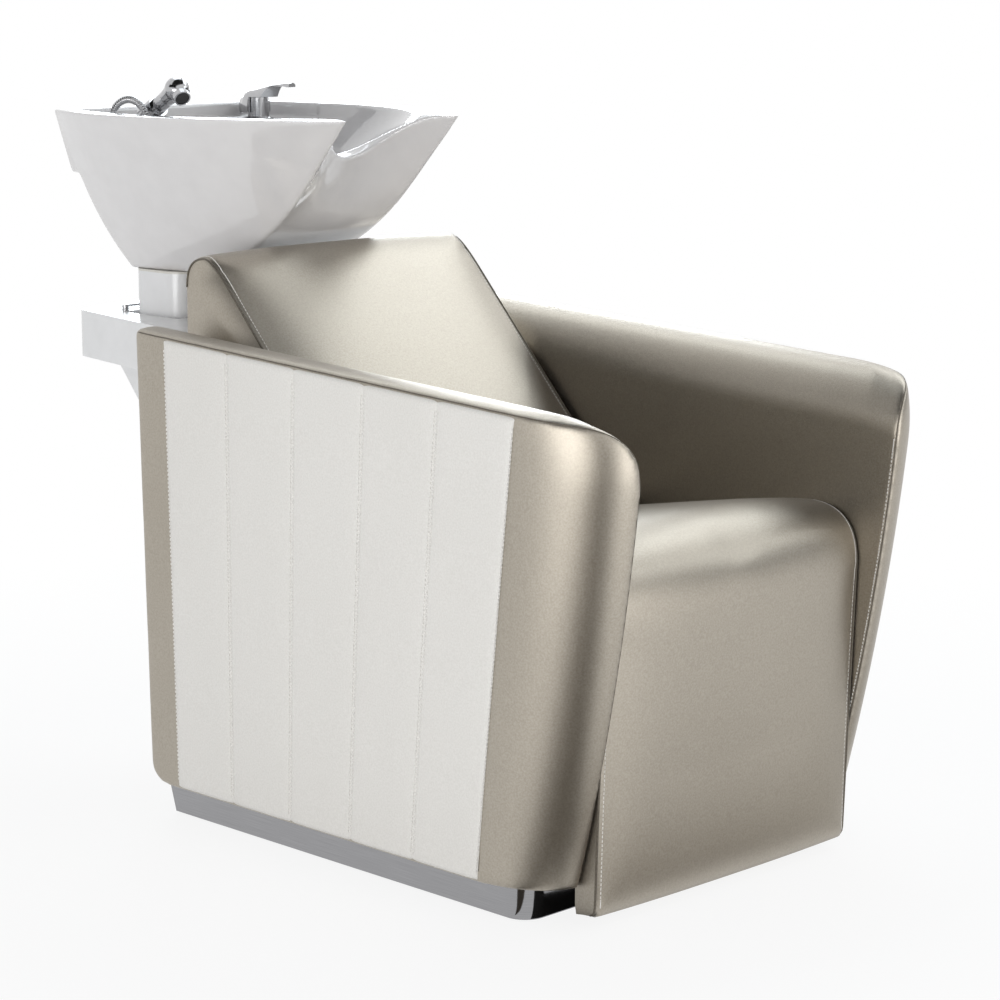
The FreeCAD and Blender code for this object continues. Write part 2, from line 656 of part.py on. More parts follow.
def basin_shape():
    """Shield-shaped ceramic basin with a neck hollow between two wings and a tap deck behind."""
    shares = (0, 0.2, 0.4, 0.6, 0.8, 1)
    hull = Part.makeLoft([shield(basin_row(s)) for s in shares], True, False)

    skirt_share = dims.deck_skirt / (dims.rim_top - dims.basin_foot)

    def ledge(share):
        row = basin_row(share)
        half = row["rear_half"] - 0.3
        outer = half - dims.rim_flare * (1 - share)
        wall = dims.rim_rear - dims.deck_overhang
        level = row["level"]
        inner = half - dims.apron_wall
        step = wall - dims.apron_wall
        ends = [plan(outer, dims.rim_rear, level), plan(-outer, dims.rim_rear, level),
                plan(-half, wall, level), plan(-inner, step, level),
                plan(inner, step, level), plan(half, wall, level)]
        return Part.makePolygon(ends + ends[:1])

    hull = hull.fuse(Part.makeLoft([ledge(0), ledge(skirt_share)], True, True))

    def belly(share, reach):
        row = basin_row(share)
        half = row["rear_half"] - dims.apron_wall
        rear = row["rear"] + reach * (dims.belly_rear - dims.rim_rear + dims.deck_overhang + 12)
        level = row["level"]
        return Part.Wire([
            Part.makeLine(plan(half, dims.deck_front, level), plan(-half, dims.deck_front, level)),
            Part.makeLine(plan(-half, dims.deck_front, level), plan(-half, row["rear"], level)),
            curve(plan(-half, row["rear"], level), plan(-half + 8, rear, level), plan(0, rear, level)),
            curve(plan(0, rear, level), plan(half - 8, rear, level), plan(half, row["rear"], level)),
            Part.makeLine(plan(half, row["rear"], level), plan(half, dims.deck_front, level)),
        ])

    swell = ((skirt_share - 0.02, 0.5), (0.66, 1.0), (0.85, 0.95), (0.995, 0.12))
    hull = hull.fuse(Part.makeLoft([belly(*s) for s in swell], True, False))

    bowl = Part.makeLoft([shield(bowl_row(s)) for s in (0, 0.3, 0.6, 0.85, 1)], True, False)
    body = hull.cut(bowl)

    rim = dims.rim_width
    back = dims.rim_rear - rim + 8
    wide = dims.rim_rear_half - rim + 4
    front = dims.deck_front - 2
    flare = wide + 0.18 * (back - front)
    deck = Part.Face(Part.makePolygon([
        plan(-wide, back, dims.deck_top), plan(wide, back, dims.deck_top),
        plan(flare, front, dims.deck_top), plan(-flare, front, dims.deck_top),
        plan(-wide, back, dims.deck_top)]))
    body = body.cut(deck.extrude(Vector(0, 0, dims.rim_top - dims.deck_top + 1)))

    top = dims.rim_top + 1
    low = dims.rim_top - dims.lip_drop
    half = dims.lip_half
    notch = Part.Wire([
        curve(plan(-half, 0, top), plan(-0.62 * half, 0, top), plan(-0.5 * half, 0, low), plan(0, 0, low)),
        curve(plan(0, 0, low), plan(0.5 * half, 0, low), plan(0.62 * half, 0, top), plan(half, 0, top)),
        Part.makeLine(plan(half, 0, top), plan(-half, 0, top))])
    saddle = Part.Face(notch).extrude(Vector(0, 2 * dims.lip_depth, 0))
    saddle.translate(Vector(0, dims.rim_front - 5, 0))
    body = body.cut(saddle)

    chamber = Part.makeBox(2 * (dims.mixer_half + dims.mixer_nut + 2), dims.rim_rear - dims.deck_front - 46,
                           dims.void_top - dims.void_foot)
    chamber.translate(Vector(-dims.mixer_half - dims.mixer_nut - 2, dims.deck_front + 20, dims.void_foot))
    body = body.cut(chamber)
    holes = [
        bore(0, dims.drain_line, dims.basin_foot - 1, dims.bowl_floor + 1, dims.drain_hole),
        bore(dims.mixer_half, dims.mixer_line, dims.void_top - 1, dims.deck_top + 1, dims.mixer_hole),
        bore(-dims.hose_half, dims.hose_arch_line + ferrule_reach(), dims.void_top - 1,
             dims.deck_top + 1, dims.hose_radius + 1),
    ]
    for hole in holes:
        body = body.cut(hole)
    return body.removeSplitter()


def ferrule_reach():
    """Half the span of the hose's arch at the height where it meets its fittings."""
    centre = dims.hose_arch_level - dims.hose_arch
    return math.sqrt(dims.hose_arch ** 2 - (dims.hose_end_level - centre) ** 2)


def build_basin():
    """Ceramic basin, its gasket, and the waste with a lift-out strainer."""
    formed("basin", basin_shape())
    lead = "drain_flange"
    tube = less(rod("drain_bore + drain_wall", "drain_tail", ("0", "drain_line", "bowl_floor - drain_tail")),
                rod("drain_bore", "drain_tail", ("0", "drain_line", "bowl_floor - drain_tail")))
    ring = less(rod("drain_flange_radius", lead, ("0", "drain_line", "bowl_floor")),
                rod("drain_bore", lead, ("0", "drain_line", "bowl_floor")))
    node("drain_waste", joined(tube, ring))

    disc = rod("strainer_radius", "strainer_plate", ("0", "drain_line", f"bowl_floor + {lead}"))
    slots = []
    for index in range(int(dims.strainer_slots)):
        turn = f"{index} * 360 / strainer_slots"
        slot = doc.addObject("Part::Box", "slot")
        bind(slot, Length="drain_bore - strainer_hub - strainer_slot", Width="strainer_slot",
             Height="strainer_plate")
        place(slot, f"strainer_hub * cos({turn})", f"drain_line + strainer_hub * sin({turn})",
              f"bowl_floor + {lead}", Rotation(Vector(0, 0, 1), 360 * index / dims.strainer_slots))
        slots.append(slot)
    cup = less(rod("drain_bore - 0.5", "strainer_depth",
                   ("0", "drain_line", f"bowl_floor + {lead} - strainer_depth")),
               rod("drain_bore - 2", "strainer_depth",
                   ("0", "drain_line", f"bowl_floor + {lead} - strainer_depth")))
    node("hair_strainer", joined(less(disc, *slots), cup))

    nut_top = "basin_foot - gasket - saddle_plate"
    nut = doc.addObject("Part::Prism", "nut")
    nut.Polygon = 6
    bind(nut, Circumradius="drain_nut_radius", Height="10")
    place(nut, "0", "drain_line", f"{nut_top} - 10")
    node("drain_nut", less(nut, rod("drain_bore + drain_wall + pivot_fit", "12",
                                    ("0", "drain_line", f"{nut_top} - 11"))))


def neck_outline(inset, level):
    """Rounded rectangle of the neck cover."""
    half = dims.neck_half - inset
    front = dims.neck_front + inset
    rear = dims.neck_rear - inset
    r = dims.neck_corner - inset
    corners = [plan(half, rear, level), plan(-half, rear, level), plan(-half, front, level),
               plan(half, front, level)]
    wire = Part.makePolygon(corners + corners[:1])
    face = Part.Face(wire)
    solid = face.extrude(Vector(0, 0, 1))
    upright = [e for e in solid.Edges if abs(e.Vertexes[0].Z - e.Vertexes[1].Z) > 0.5]
    rounded = solid.makeFillet(r, upright)
    lowest = min(rounded.Faces, key=lambda f: f.CenterOfMass.z)
    return lowest.OuterWire


def build_neck():
    """Tilting head: cover, saddle plate with two cheeks, and stub pins in the fixed fork."""
    foot = dims.shelf_top - dims.neck_dip
    tall = dims.basin_foot - dims.gasket - foot
    cover = Part.Face(neck_outline(0, foot)).extrude(Vector(0, 0, tall))
    inside = Part.Face(neck_outline(dims.neck_wall, foot)).extrude(Vector(0, 0, tall))
    formed("neck_cover", cover.cut(inside))

    pad = Part.Face(neck_outline(0, dims.basin_foot - dims.gasket)).extrude(Vector(0, 0, dims.gasket))
    formed("basin_gasket", pad.cut(bore(0, dims.drain_line, dims.basin_foot - dims.gasket - 1,
                                        dims.basin_foot + 1, dims.drain_hole)))

    top = "basin_foot - gasket"
    saddle = block(("2 * (neck_half - neck_wall - neck_corner)", "neck_rear - neck_front - 2 * neck_wall",
                    "saddle_plate"),
                   ("-(neck_half - neck_wall - neck_corner)", "neck_front + neck_wall",
                    f"{top} - saddle_plate"))
    hole = rod("drain_hole", "saddle_plate + 2", ("0", "drain_line", f"{top} - saddle_plate - 1"))
    cheeks = []
    reach = "4 * pivot_radius"
    for start in "fork_half + fork_plate + yoke_gap", "-(fork_half + fork_plate + yoke_gap + yoke_plate)":
        cheek = plate("YZ_Plane", [
            (f"pivot_line - {reach} / 2", "pivot_level"),
            (f"pivot_line - {reach} / 4", f"pivot_level - {reach} / 2"),
            (f"pivot_line + {reach} / 4", f"pivot_level - {reach} / 2"),
            (f"pivot_line + {reach} / 2", "pivot_level"),
            (f"pivot_line + {reach}", f"{top} - saddle_plate"),
            (f"pivot_line - {reach}", f"{top} - saddle_plate")], "yoke_plate")
        place(cheek, start)
        eye = rod("pivot_radius + bush_wall", "yoke_plate + 2",
                  (f"{start} - 1", "pivot_line", "pivot_level"), "x")
        cheeks.append(less(cheek, eye))
    node("tilt_yoke", joined(less(saddle, hole), *cheeks))

    bushes = []
    pins = []
    for sign, start in (("", "fork_half + fork_plate + yoke_gap"),
                        ("-", "-(fork_half + fork_plate + yoke_gap + yoke_plate)")):
        sleeve = rod("pivot_radius + bush_wall", "yoke_plate", (start, "pivot_line", "pivot_level"), "x")
        eye = rod("pivot_radius + pivot_fit", "yoke_plate + 2",
                  (f"{start} - 1", "pivot_line", "pivot_level"), "x")
        bushes.append(less(sleeve, eye))
        length = "fork_plate + yoke_gap + yoke_plate + yoke_gap"
        if sign:
            shank = rod("pivot_radius", length,
                        (f"-fork_half - ({length})", "pivot_line", "pivot_level"), "x")
            head = rod("1.6 * pivot_radius", "pin_head",
                       (f"-fork_half - ({length}) - pin_head", "pivot_line", "pivot_level"), "x")
        else:
            shank = rod("pivot_radius", length, ("fork_half", "pivot_line", "pivot_level"), "x")
            head = rod("1.6 * pivot_radius", "pin_head",
                       (f"fork_half + {length}", "pivot_line", "pivot_level"), "x")
        pins.append(joined(shank, head))
    node("tilt_bushes", together(*bushes))
    node("tilt_pins", together(*pins))


def build_column():
    """Floor plate, post and the fixed fork that carries the tilting head."""
    wide = "(anchor_pitch_wide + 2 * anchor_edge)"
    deep = "(anchor_pitch_deep + 2 * anchor_edge)"
    base = block((wide, deep, "floor_plate"), (f"-{wide} / 2", f"post_line - {deep} / 2", "0"))
    holes = []
    for sx in "-", "":
        for sy in "-", "+":
            holes.append(rod("anchor_radius", "floor_plate + 2",
                             (f"{sx}anchor_pitch_wide / 2", f"post_line {sy} anchor_pitch_deep / 2", "-1")))
    node("floor_plate", less(base, *holes))

    half = "post_size / 2"
    post = block(("post_size", "post_size", "post_top - floor_plate"),
                 (f"-{half}", f"post_line - {half}", "floor_plate"))
    inside = block(("post_size - 6", "post_size - 6", "post_top - floor_plate"),
                   (f"-{half} + 3", f"post_line - {half} + 3", "floor_plate"))
    node("support_post", less(post, inside))

    cross = block(("2 * fork_half", "post_size", "fork_plate"),
                  ("-fork_half", f"post_line - {half}", "post_top"))
    plates = []
    reach = "2 * pivot_radius"
    for start in "fork_half", "-(fork_half + fork_plate)":
        web = plate("YZ_Plane", [
            (f"post_line - {half}", "post_top - post_size"), (f"post_line + {half}", "post_top - post_size"),
            (f"pivot_line + {reach}", f"pivot_level - {reach}"),
            (f"pivot_line + {reach}", f"pivot_level + {reach}"),
            (f"pivot_line - {reach}", f"pivot_level + {reach}"),
            (f"post_line - {half}", "post_top + fork_plate")], "fork_plate")
        place(web, start)
        eye = rod("pivot_radius + pivot_fit", "fork_plate + 2",
                  (f"{start} - 1", "pivot_line", "pivot_level"), "x")
        plates.append(less(web, eye))
    node("tilt_fork", joined(cross, *plates))


def build_housing():
    """White column cover: a bowed shelf over a body that tapers forward to the floor."""

    def bow(inset, level, rear, corner, rear_half, front_half):
        w = rear_half - inset
        f = front_half - inset
        y = corner - inset
        front = dims.back_rear
        crest = 2 * (rear - inset) - y
        return Part.Wire([
            curve(plan(w, y, level), plan(0, crest, level), plan(-w, y, level)),
            Part.makeLine(plan(-w, y, level), plan(-f, front + inset, level)),
            Part.makeLine(plan(-f, front + inset, level), plan(f, front + inset, level)),
            Part.makeLine(plan(f, front + inset, level), plan(w, y, level)),
        ])

    def shelf(inset, level):
        return bow(inset, level, dims.shelf_rear, dims.shelf_corner_line, dims.shelf_rear_half,
                   dims.shelf_front_half)

    top = dims.shelf_top
    tall = dims.shelf_height
    wall = dims.shelf_wall
    outer = Part.Face(shelf(0, top - tall)).extrude(Vector(0, 0, tall))
    upright = [e for e in outer.Edges if abs(e.Vertexes[0].Z - e.Vertexes[-1].Z) > 0.5 * tall
               and e.Vertexes[0].Y > dims.back_rear + 1]
    outer = outer.makeFillet(dims.neck_corner, upright)
    inner = Part.Face(shelf(wall + 2, top - tall)).extrude(Vector(0, 0, tall - wall))
    slot_gap = dims.shelf_slot_gap
    slot = Part.makeBox(2 * (dims.neck_half + slot_gap),
                        dims.neck_rear - dims.neck_front + slot_gap + dims.shelf_slot_rear, 2 * tall)
    slot.translate(Vector(-dims.neck_half - slot_gap, dims.neck_front - slot_gap, top - tall / 2))
    formed("housing_shelf", outer.cut(inner).cut(slot))

    step = dims.housing_step

    def body(inset):
        head = bow(inset, top - tall, dims.shelf_rear - step, dims.shelf_corner_line - step,
                   dims.shelf_rear_half - step, dims.shelf_front_half - step)
        knee = bow(inset, dims.housing_knee_level, dims.housing_rear, dims.housing_rear - 12,
                   dims.housing_rear_half, dims.housing_front_half)
        foot = bow(inset, dims.floor_gap, dims.housing_rear, dims.housing_rear - 12,
                   dims.housing_rear_half, dims.housing_front_half)
        upper = Part.makeLoft([knee, head], True, True)
        lower = Part.makeLoft([foot, knee], True, True)
        return upper.fuse(lower).removeSplitter()

    shell = body(0).cut(body(dims.housing_wall))
    through = 8 * dims.housing_wall
    hatch = Part.makeBox(2 * dims.hatch_half, 2 * through, dims.hatch_top - dims.hatch_foot)
    hatch.translate(Vector(-dims.hatch_half, dims.housing_rear - through, dims.hatch_foot))
    formed("housing_body", shell.cut(hatch))
    lap = dims.hatch_lap
    cover = Part.makeBox(2 * (dims.hatch_half + lap), 60, dims.hatch_top - dims.hatch_foot + 2 * lap)
    cover.translate(Vector(-dims.hatch_half - lap, dims.housing_rear - 30, dims.hatch_foot - lap))
    skin = body(-dims.hatch_plate).cut(body(0))
    formed("service_hatch", cover.common(skin))


def build_lock():
    """Small lever on the shelf behind the neck that locks the tilt."""
    at = ("-lock_half", "neck_rear + shelf_slot_rear + lock_post + lock_set", "shelf_top")
    post = rod("lock_post", "lock_height", at)
    arm = block(("lock_reach", "2 * lock_post", "lock_arm"),
                (at[0], f"{at[1]} - lock_post", "shelf_top + lock_height - lock_arm"))
    grip = rod("lock_post", "lock_arm",
               (f"{at[0]} + lock_reach", at[1], "shelf_top + lock_height - lock_arm"))
    node("tilt_lock_lever", joined(post, arm, grip))


def build_mixer():
    """Single-lever mixer: fixed body, turning cartridge stem and a hooded lever that also lifts."""
    at = ("mixer_half", "mixer_line", "deck_top")
    tall = "(mixer_body_top - deck_top)"
    body = turned([("0", "0"), ("mixer_foot", "0"), ("mixer_foot", "mixer_step"),
                   ("mixer_radius", "mixer_foot_rise"), ("mixer_radius", tall), ("mixer_socket", tall),
                   ("mixer_socket", f"{tall} - mixer_socket_depth"), ("0", f"{tall} - mixer_socket_depth")])
    place(body, *at)
    shank = rod("mixer_shank", "deck_top - void_top + mixer_shank_proud",
                ("mixer_half", "mixer_line", "void_top - mixer_shank_proud"))
    node("mixer_body", joined(body, shank))
    nut = doc.addObject("Part::Prism", "nut")
    nut.Polygon = 6
    bind(nut, Circumradius="mixer_nut", Height="mixer_nut_height")
    place(nut, "mixer_half", "mixer_line", "void_top - mixer_nut_height")
    eye = rod("mixer_shank + pivot_fit", "mixer_nut_height + 2",
              ("mixer_half", "mixer_line", "void_top - mixer_nut_height - 1"))
    node("mixer_nut", less(nut, eye))
    stem = rod("mixer_socket - stem_fit", "mixer_socket_depth - stem_fit",
               ("mixer_half", "mixer_line", "mixer_body_top - mixer_socket_depth + stem_fit"))
    ball = doc.addObject("Part::Sphere", "ball")
    bind(ball, Radius="stem_ball")
    place(ball, "mixer_half", "mixer_line", "mixer_body_top")
    node("mixer_stem", joined(stem, ball))
    formed("mixer_lever", lever_shape())


def lever_shape():
    """Hood over the mixer's rear and top that runs out forwards into a slim lever."""
    x = dims.mixer_half
    y = dims.mixer_line
    top = dims.mixer_body_top
    foot = dims.deck_top + dims.hood_gap
    hood = dims.hood_half
    crown = dims.hood_crown
    reach = dims.lever_reach
    tip = dims.lever_width / 2

    def arch(along, half, low, high):
        a = Vector(x - half, y - along, low)
        b = Vector(x + half, y - along, low)
        c = Vector(x, y - along, high)
        lift = Vector(0, 0, 0.9 * (high - low))
        return Part.Wire([Part.makeLine(a, b), curve(b, b + lift, c + Vector(half / 2, 0, 0), c),
                          curve(c, c - Vector(half / 2, 0, 0), a + lift, a)])

    def section(along):
        behind = math.sqrt(max(0.0, 1 - (min(along, 0) / (1.03 * dims.hood_rear)) ** 2))
        ahead = max(along, 0) / reach
        ease = ahead ** 2 * (3 - 2 * ahead)
        high = foot + 3 + (top + crown - foot - 3) * behind + dims.lever_rise * (1 - (1 - ahead) ** 1.6)
        slope = min(1, 1.8 * ahead)
        low = foot + (top + crown + 0.5 * dims.lever_rise - foot) * slope ** 2 * (3 - 2 * slope)
        return arch(along, hood * behind + (tip - hood) * min(1, ease ** 0.7), min(low, high - 3), high)

    count = int(dims.hood_sections)
    span = reach + dims.hood_rear
    sections = [section(index * span / count - dims.hood_rear) for index in range(count + 1)]
    shape = Part.makeLoft(sections, True, False)
    centre = Vector(x, y, top)
    tall = top - foot + dims.hood_gap
    below = Vector(x, y, foot - dims.hood_gap)
    room = Part.makeCylinder(dims.mixer_radius + dims.hood_fit, tall + 3 * dims.hood_fit, below)
    swung = Part.makeCylinder(dims.mixer_radius + 1.3 * dims.hood_fit, tall + 5 * dims.hood_fit, below)
    shape = shape.cut(room).cut(swung.rotated(centre, Vector(1, 0, 0), dims.lever_lift))
    window = Part.makeBox(4 * hood, 2 * reach, top + dims.hood_fit - dims.deck_top)
    window.translate(Vector(x - 2 * hood, y - 2 * reach, dims.deck_top))
    well = Part.makeCylinder(0.6 * dims.mixer_radius, 0.65 * crown, Vector(x, y, top))
    return shape.cut(window).cut(well).removeSplitter()


def spray_axis():
    """Direction from the hand shower's tail to its head."""
    lift = math.radians(dims.spray_lift)
    return Vector(0, -math.cos(lift), math.sin(lift))


def build_spray():
    """Hand shower in an inclined holder, with a ribbed hose that arches to a deck ferrule."""
    axis = spray_axis()
    ball = Vector(-dims.spray_half, dims.spray_ball_line, dims.spray_ball_level)
    tail = ball - axis * dims.spray_length
    handle = Part.makeCylinder(dims.spray_handle, dims.spray_length, tail, axis)
    taper = Part.makeCone(dims.spray_handle, 0.82 * dims.spray_ball, dims.spray_taper,
                          ball - axis * dims.spray_neck, axis)
    head = Part.makeSphere(dims.spray_ball, ball)
    formed("spray_handle", handle.fuse(taper).cut(Part.makeSphere(dims.spray_ball + 0.02, ball))
           .removeSplitter())
    down = Vector(-0.25, -0.8, -0.55)
    down.normalize()
    brim = dims.spray_ball + dims.spray_brim
    collar = Part.makeCylinder(dims.spray_nozzle, brim, ball, down)
    seat = ball + down * (brim - dims.spray_recess)
    mouth = dims.spray_nozzle - dims.spray_rim
    recess = Part.makeCylinder(mouth, dims.spray_recess, seat, down)
    formed("spray_head", head.fuse(collar).cut(recess).removeSplitter())
    formed("spray_face", Part.makeCylinder(mouth - dims.spray_face_fit, dims.spray_face, seat, down))

    fit = dims.spray_handle + dims.holder_fit
    thick = fit + dims.holder_wall
    start = tail - axis * dims.holder_stop
    sleeve = Part.makeCylinder(thick, dims.holder_sleeve, start, axis)
    foot = Vector(tail.x, tail.y - dims.holder_set_back, dims.deck_top)
    stand = Part.makeCylinder(fit, tail.z - dims.deck_top + dims.holder_set_back, foot)
    flange = Part.makeCylinder(thick, dims.holder_base, foot)
    port = hose_boss(-1)
    wide = dims.hose_half - dims.spray_half
    tie = Part.makeBox(wide, 2 * dims.ferrule_radius, dims.holder_base)
    tie_line = dims.hose_arch_line - ferrule_reach() - dims.ferrule_radius / 2
    tie.translate(Vector(-dims.hose_half, tie_line, dims.deck_top))
    holder = sleeve.fuse(stand).fuse(flange).fuse(port).fuse(tie)
    holder = holder.cut(Part.makeCylinder(fit, dims.holder_sleeve + 2, tail, axis))
    deck = Part.makeBox(2 * dims.rim_rear, 2 * dims.rim_rear, dims.deck_skirt)
    deck.translate(Vector(-dims.rim_rear, 0, dims.deck_top - dims.deck_skirt))
    formed("spray_holder", holder.cut(deck).removeSplitter())

    formed("hose_ferrule", hose_boss(1).cut(deck))
    formed("spray_hose", ribbed_hose())


def hose_boss(sign):
    """Fitting square to one end of the hose's arch and long enough to reach into the deck."""
    reach = ferrule_reach()
    centre_level = dims.hose_arch_level - dims.hose_arch
    end = Vector(-dims.hose_half, dims.hose_arch_line + sign * reach, dims.hose_end_level)
    slope = Vector(0, sign * (dims.hose_end_level - centre_level), -reach)
    return Part.makeCylinder(dims.ferrule_radius, 3 * dims.ferrule_radius, end, slope)


def ribbed_hose():
    """Ribbed hose arched from the ferrule to the holder, with its bore."""
    centre = Vector(-dims.hose_half, dims.hose_arch_line, dims.hose_arch_level - dims.hose_arch)
    half_turn = math.asin(ferrule_reach() / dims.hose_arch)
    length = 2 * half_turn * dims.hose_arch
    ribs = max(4, int(length / dims.hose_pitch))
    crest = dims.hose_radius
    root = dims.hose_radius - dims.hose_groove
    lead = Vector(1, 0, 0)

    def ring(share, radius):
        turn = half_turn * (1 - 2 * share)
        radial = Vector(0, math.sin(turn), math.cos(turn))
        along = radial.cross(lead)
        circle = Part.Circle()
        circle.Radius = radius
        spot = Placement(centre + radial * dims.hose_arch, Rotation(lead, radial, along, "XZY"))
        edge = circle.toShape()
        edge.Placement = spot
        return Part.Wire([edge])

    marks = ((0.0, root), (0.3, crest), (0.7, crest))
    rings = [ring((index + at) / ribs, radius) for index in range(ribs) for at, radius in marks]
    rings.append(ring(1.0, root))
    skin = Part.makeLoft(rings, True, True)
    arc = Part.Arc(ring(0, 1).CenterOfMass, ring(0.5, 1).CenterOfMass, ring(1, 1).CenterOfMass)
    bore_solid = Part.Wire([arc.toShape()]).makePipeShell([ring(0, dims.hose_bore)], True, False)
    return skin.cut(bore_solid)


def export():
    """Check every piece and write it to its own file."""
    doc.recompute()
    for obj in doc.Objects:
        if "Invalid" in obj.State or "Error" in obj.State:
            raise RuntimeError(f"{obj.Label} failed: {obj.State}")
    for piece in nodes:
        shape = piece.Shape
        if shape.isNull() or not shape.isValid() or not shape.Solids:
            raise RuntimeError(f"{piece.Label} has no valid shape")
    os.makedirs("parts", exist_ok=True)
    for piece in nodes:
        piece.Shape.exportStep(f"parts/{piece.Label}.step")


build_base()
build_arms()
build_seat()
build_backrest()
build_basin()
build_neck()
build_column()
build_housing()
build_lock()
build_mixer()
build_spray()
export()
print(len(nodes), "pieces")
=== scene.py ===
"""Looks of a salon backwash unit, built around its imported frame. Metres, +Z up, the sitter faces -Y."""

import json
import math

import bmesh
import bpy
import numpy as np
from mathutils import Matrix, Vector
from mathutils.bvhtree import BVHTree
from mathutils.kdtree import KDTree


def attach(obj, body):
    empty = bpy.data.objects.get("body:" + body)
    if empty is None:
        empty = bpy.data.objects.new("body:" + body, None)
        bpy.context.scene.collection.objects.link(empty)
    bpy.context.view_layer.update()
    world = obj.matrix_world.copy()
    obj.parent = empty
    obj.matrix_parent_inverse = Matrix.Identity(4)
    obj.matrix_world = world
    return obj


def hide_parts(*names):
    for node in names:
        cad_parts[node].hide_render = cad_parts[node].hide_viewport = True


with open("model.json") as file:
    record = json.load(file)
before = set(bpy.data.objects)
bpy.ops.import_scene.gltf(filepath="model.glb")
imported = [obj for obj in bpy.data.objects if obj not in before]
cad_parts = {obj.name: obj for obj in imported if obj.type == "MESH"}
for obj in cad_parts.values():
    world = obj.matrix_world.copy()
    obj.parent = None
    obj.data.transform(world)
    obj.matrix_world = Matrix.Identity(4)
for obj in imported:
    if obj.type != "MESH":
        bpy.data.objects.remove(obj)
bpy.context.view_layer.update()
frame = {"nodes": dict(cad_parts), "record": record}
nodes = frame["nodes"]

# Sizes shared with the solids, in metres
ARM = dict(outer=0.326, inner=0.240, lean=0.012, rear=0.230, foot=0.048, tip=-0.612, shin=-0.573,
           toe=-0.508, rear_top=0.667, front_top=0.626, nose=0.120, brow=0.015, droop=0.007, roll=0.062,
           heel=0.010, puff=0.005)
ARM_TURNS = dict(brow=0.14, droop=0.10, across=0.62, along=0.45, underside=0.034, puff=0.010, inner_puff=0.03,
                 gap=0.002)
PANEL = dict(rear_top=0.166, rear_foot=0.167, front_top=-0.482, front_foot=-0.407, channels=5,
             margin=0.004, drop=0.0035, crown=0.0028, depth=0.004, seam=0.0032)
PANEL_EDGE = dict(round=0.006, proud=0.0012, sink=0.0004, width=0.6, tuck=0.0016)
SEAT = dict(half=0.2375, front=-0.549, top=0.459, crown=0.015, tilt=10.0, nose=0.074, thick=0.092,
            foot=0.013, skirt=0.051, rake=0.014, rear=-0.056)
BACK = dict(half=0.2304, rear=0.236, top=0.761, crown=0.009, recline=42.9, head=0.058, round=0.044,
            foot=0.300, board=0.015)

# Softness of the forms made in this script
ARM_RELAX = dict(voxel=0.003, rounds=24)
GLAZE_RELAX = dict(voxel=0.0025, rounds=14)
SWELL = dict(frames=20, quality=6, mass=0.3, stretch=30, bend=8, pressure=4, cap=0.006)
PAD_EDGE = dict(depth=0.004, width=0.0035, columns=41, stitches=2)

# Seams: piping radii, steps along a seam, and distances of stitches from it
SEAM = dict(arm=0.0010, arm_step=0.004, set_in=0.0028, stitches=0.006, low=0.012, high=0.004,
            panel=0.0008, panel_step=0.006, panel_sink=0.0006, panel_lift=0.0003,
            pad=0.0015, pad_step=0.005, pad_stitch_step=0.004, pad_lift=0.0002)
STITCH = dict(pitch=0.0055, length=0.0038, width=0.00075)
MERGE = 2e-5


# Materials
def shader(name):
    mat = bpy.data.materials.new(name)
    mat.use_nodes = True
    tree = mat.node_tree
    return mat, tree, tree.nodes["Principled BSDF"]


def add(tree, kind, links=(), **values):
    """A shader node with its input values and links set."""
    made = tree.nodes.new(kind)
    for key, value in values.items():
        if key in made.inputs:
            made.inputs[key].default_value = value
        else:
            setattr(made, key, value)
    for source, target in links:
        tree.links.new(source, made.inputs[target])
    return made


def coords(tree, scale=(1, 1, 1)):
    place = add(tree, "ShaderNodeTexCoord")
    mapped = add(tree, "ShaderNodeMapping", [(place.outputs["Object"], "Vector")])
    mapped.inputs["Scale"].default_value = scale
    return mapped.outputs["Vector"]


def ramp(tree, source, stops):
    made = add(tree, "ShaderNodeValToRGB", [(source, "Fac")])
    elements = made.color_ramp.elements
    while len(elements) < len(stops):
        elements.new(0.5)
    for element, (at, colour) in zip(elements, stops):
        element.position = at
        element.color = (*colour, 1)
    return made.outputs["Color"]


def grey(value):
    return (value, value, value)


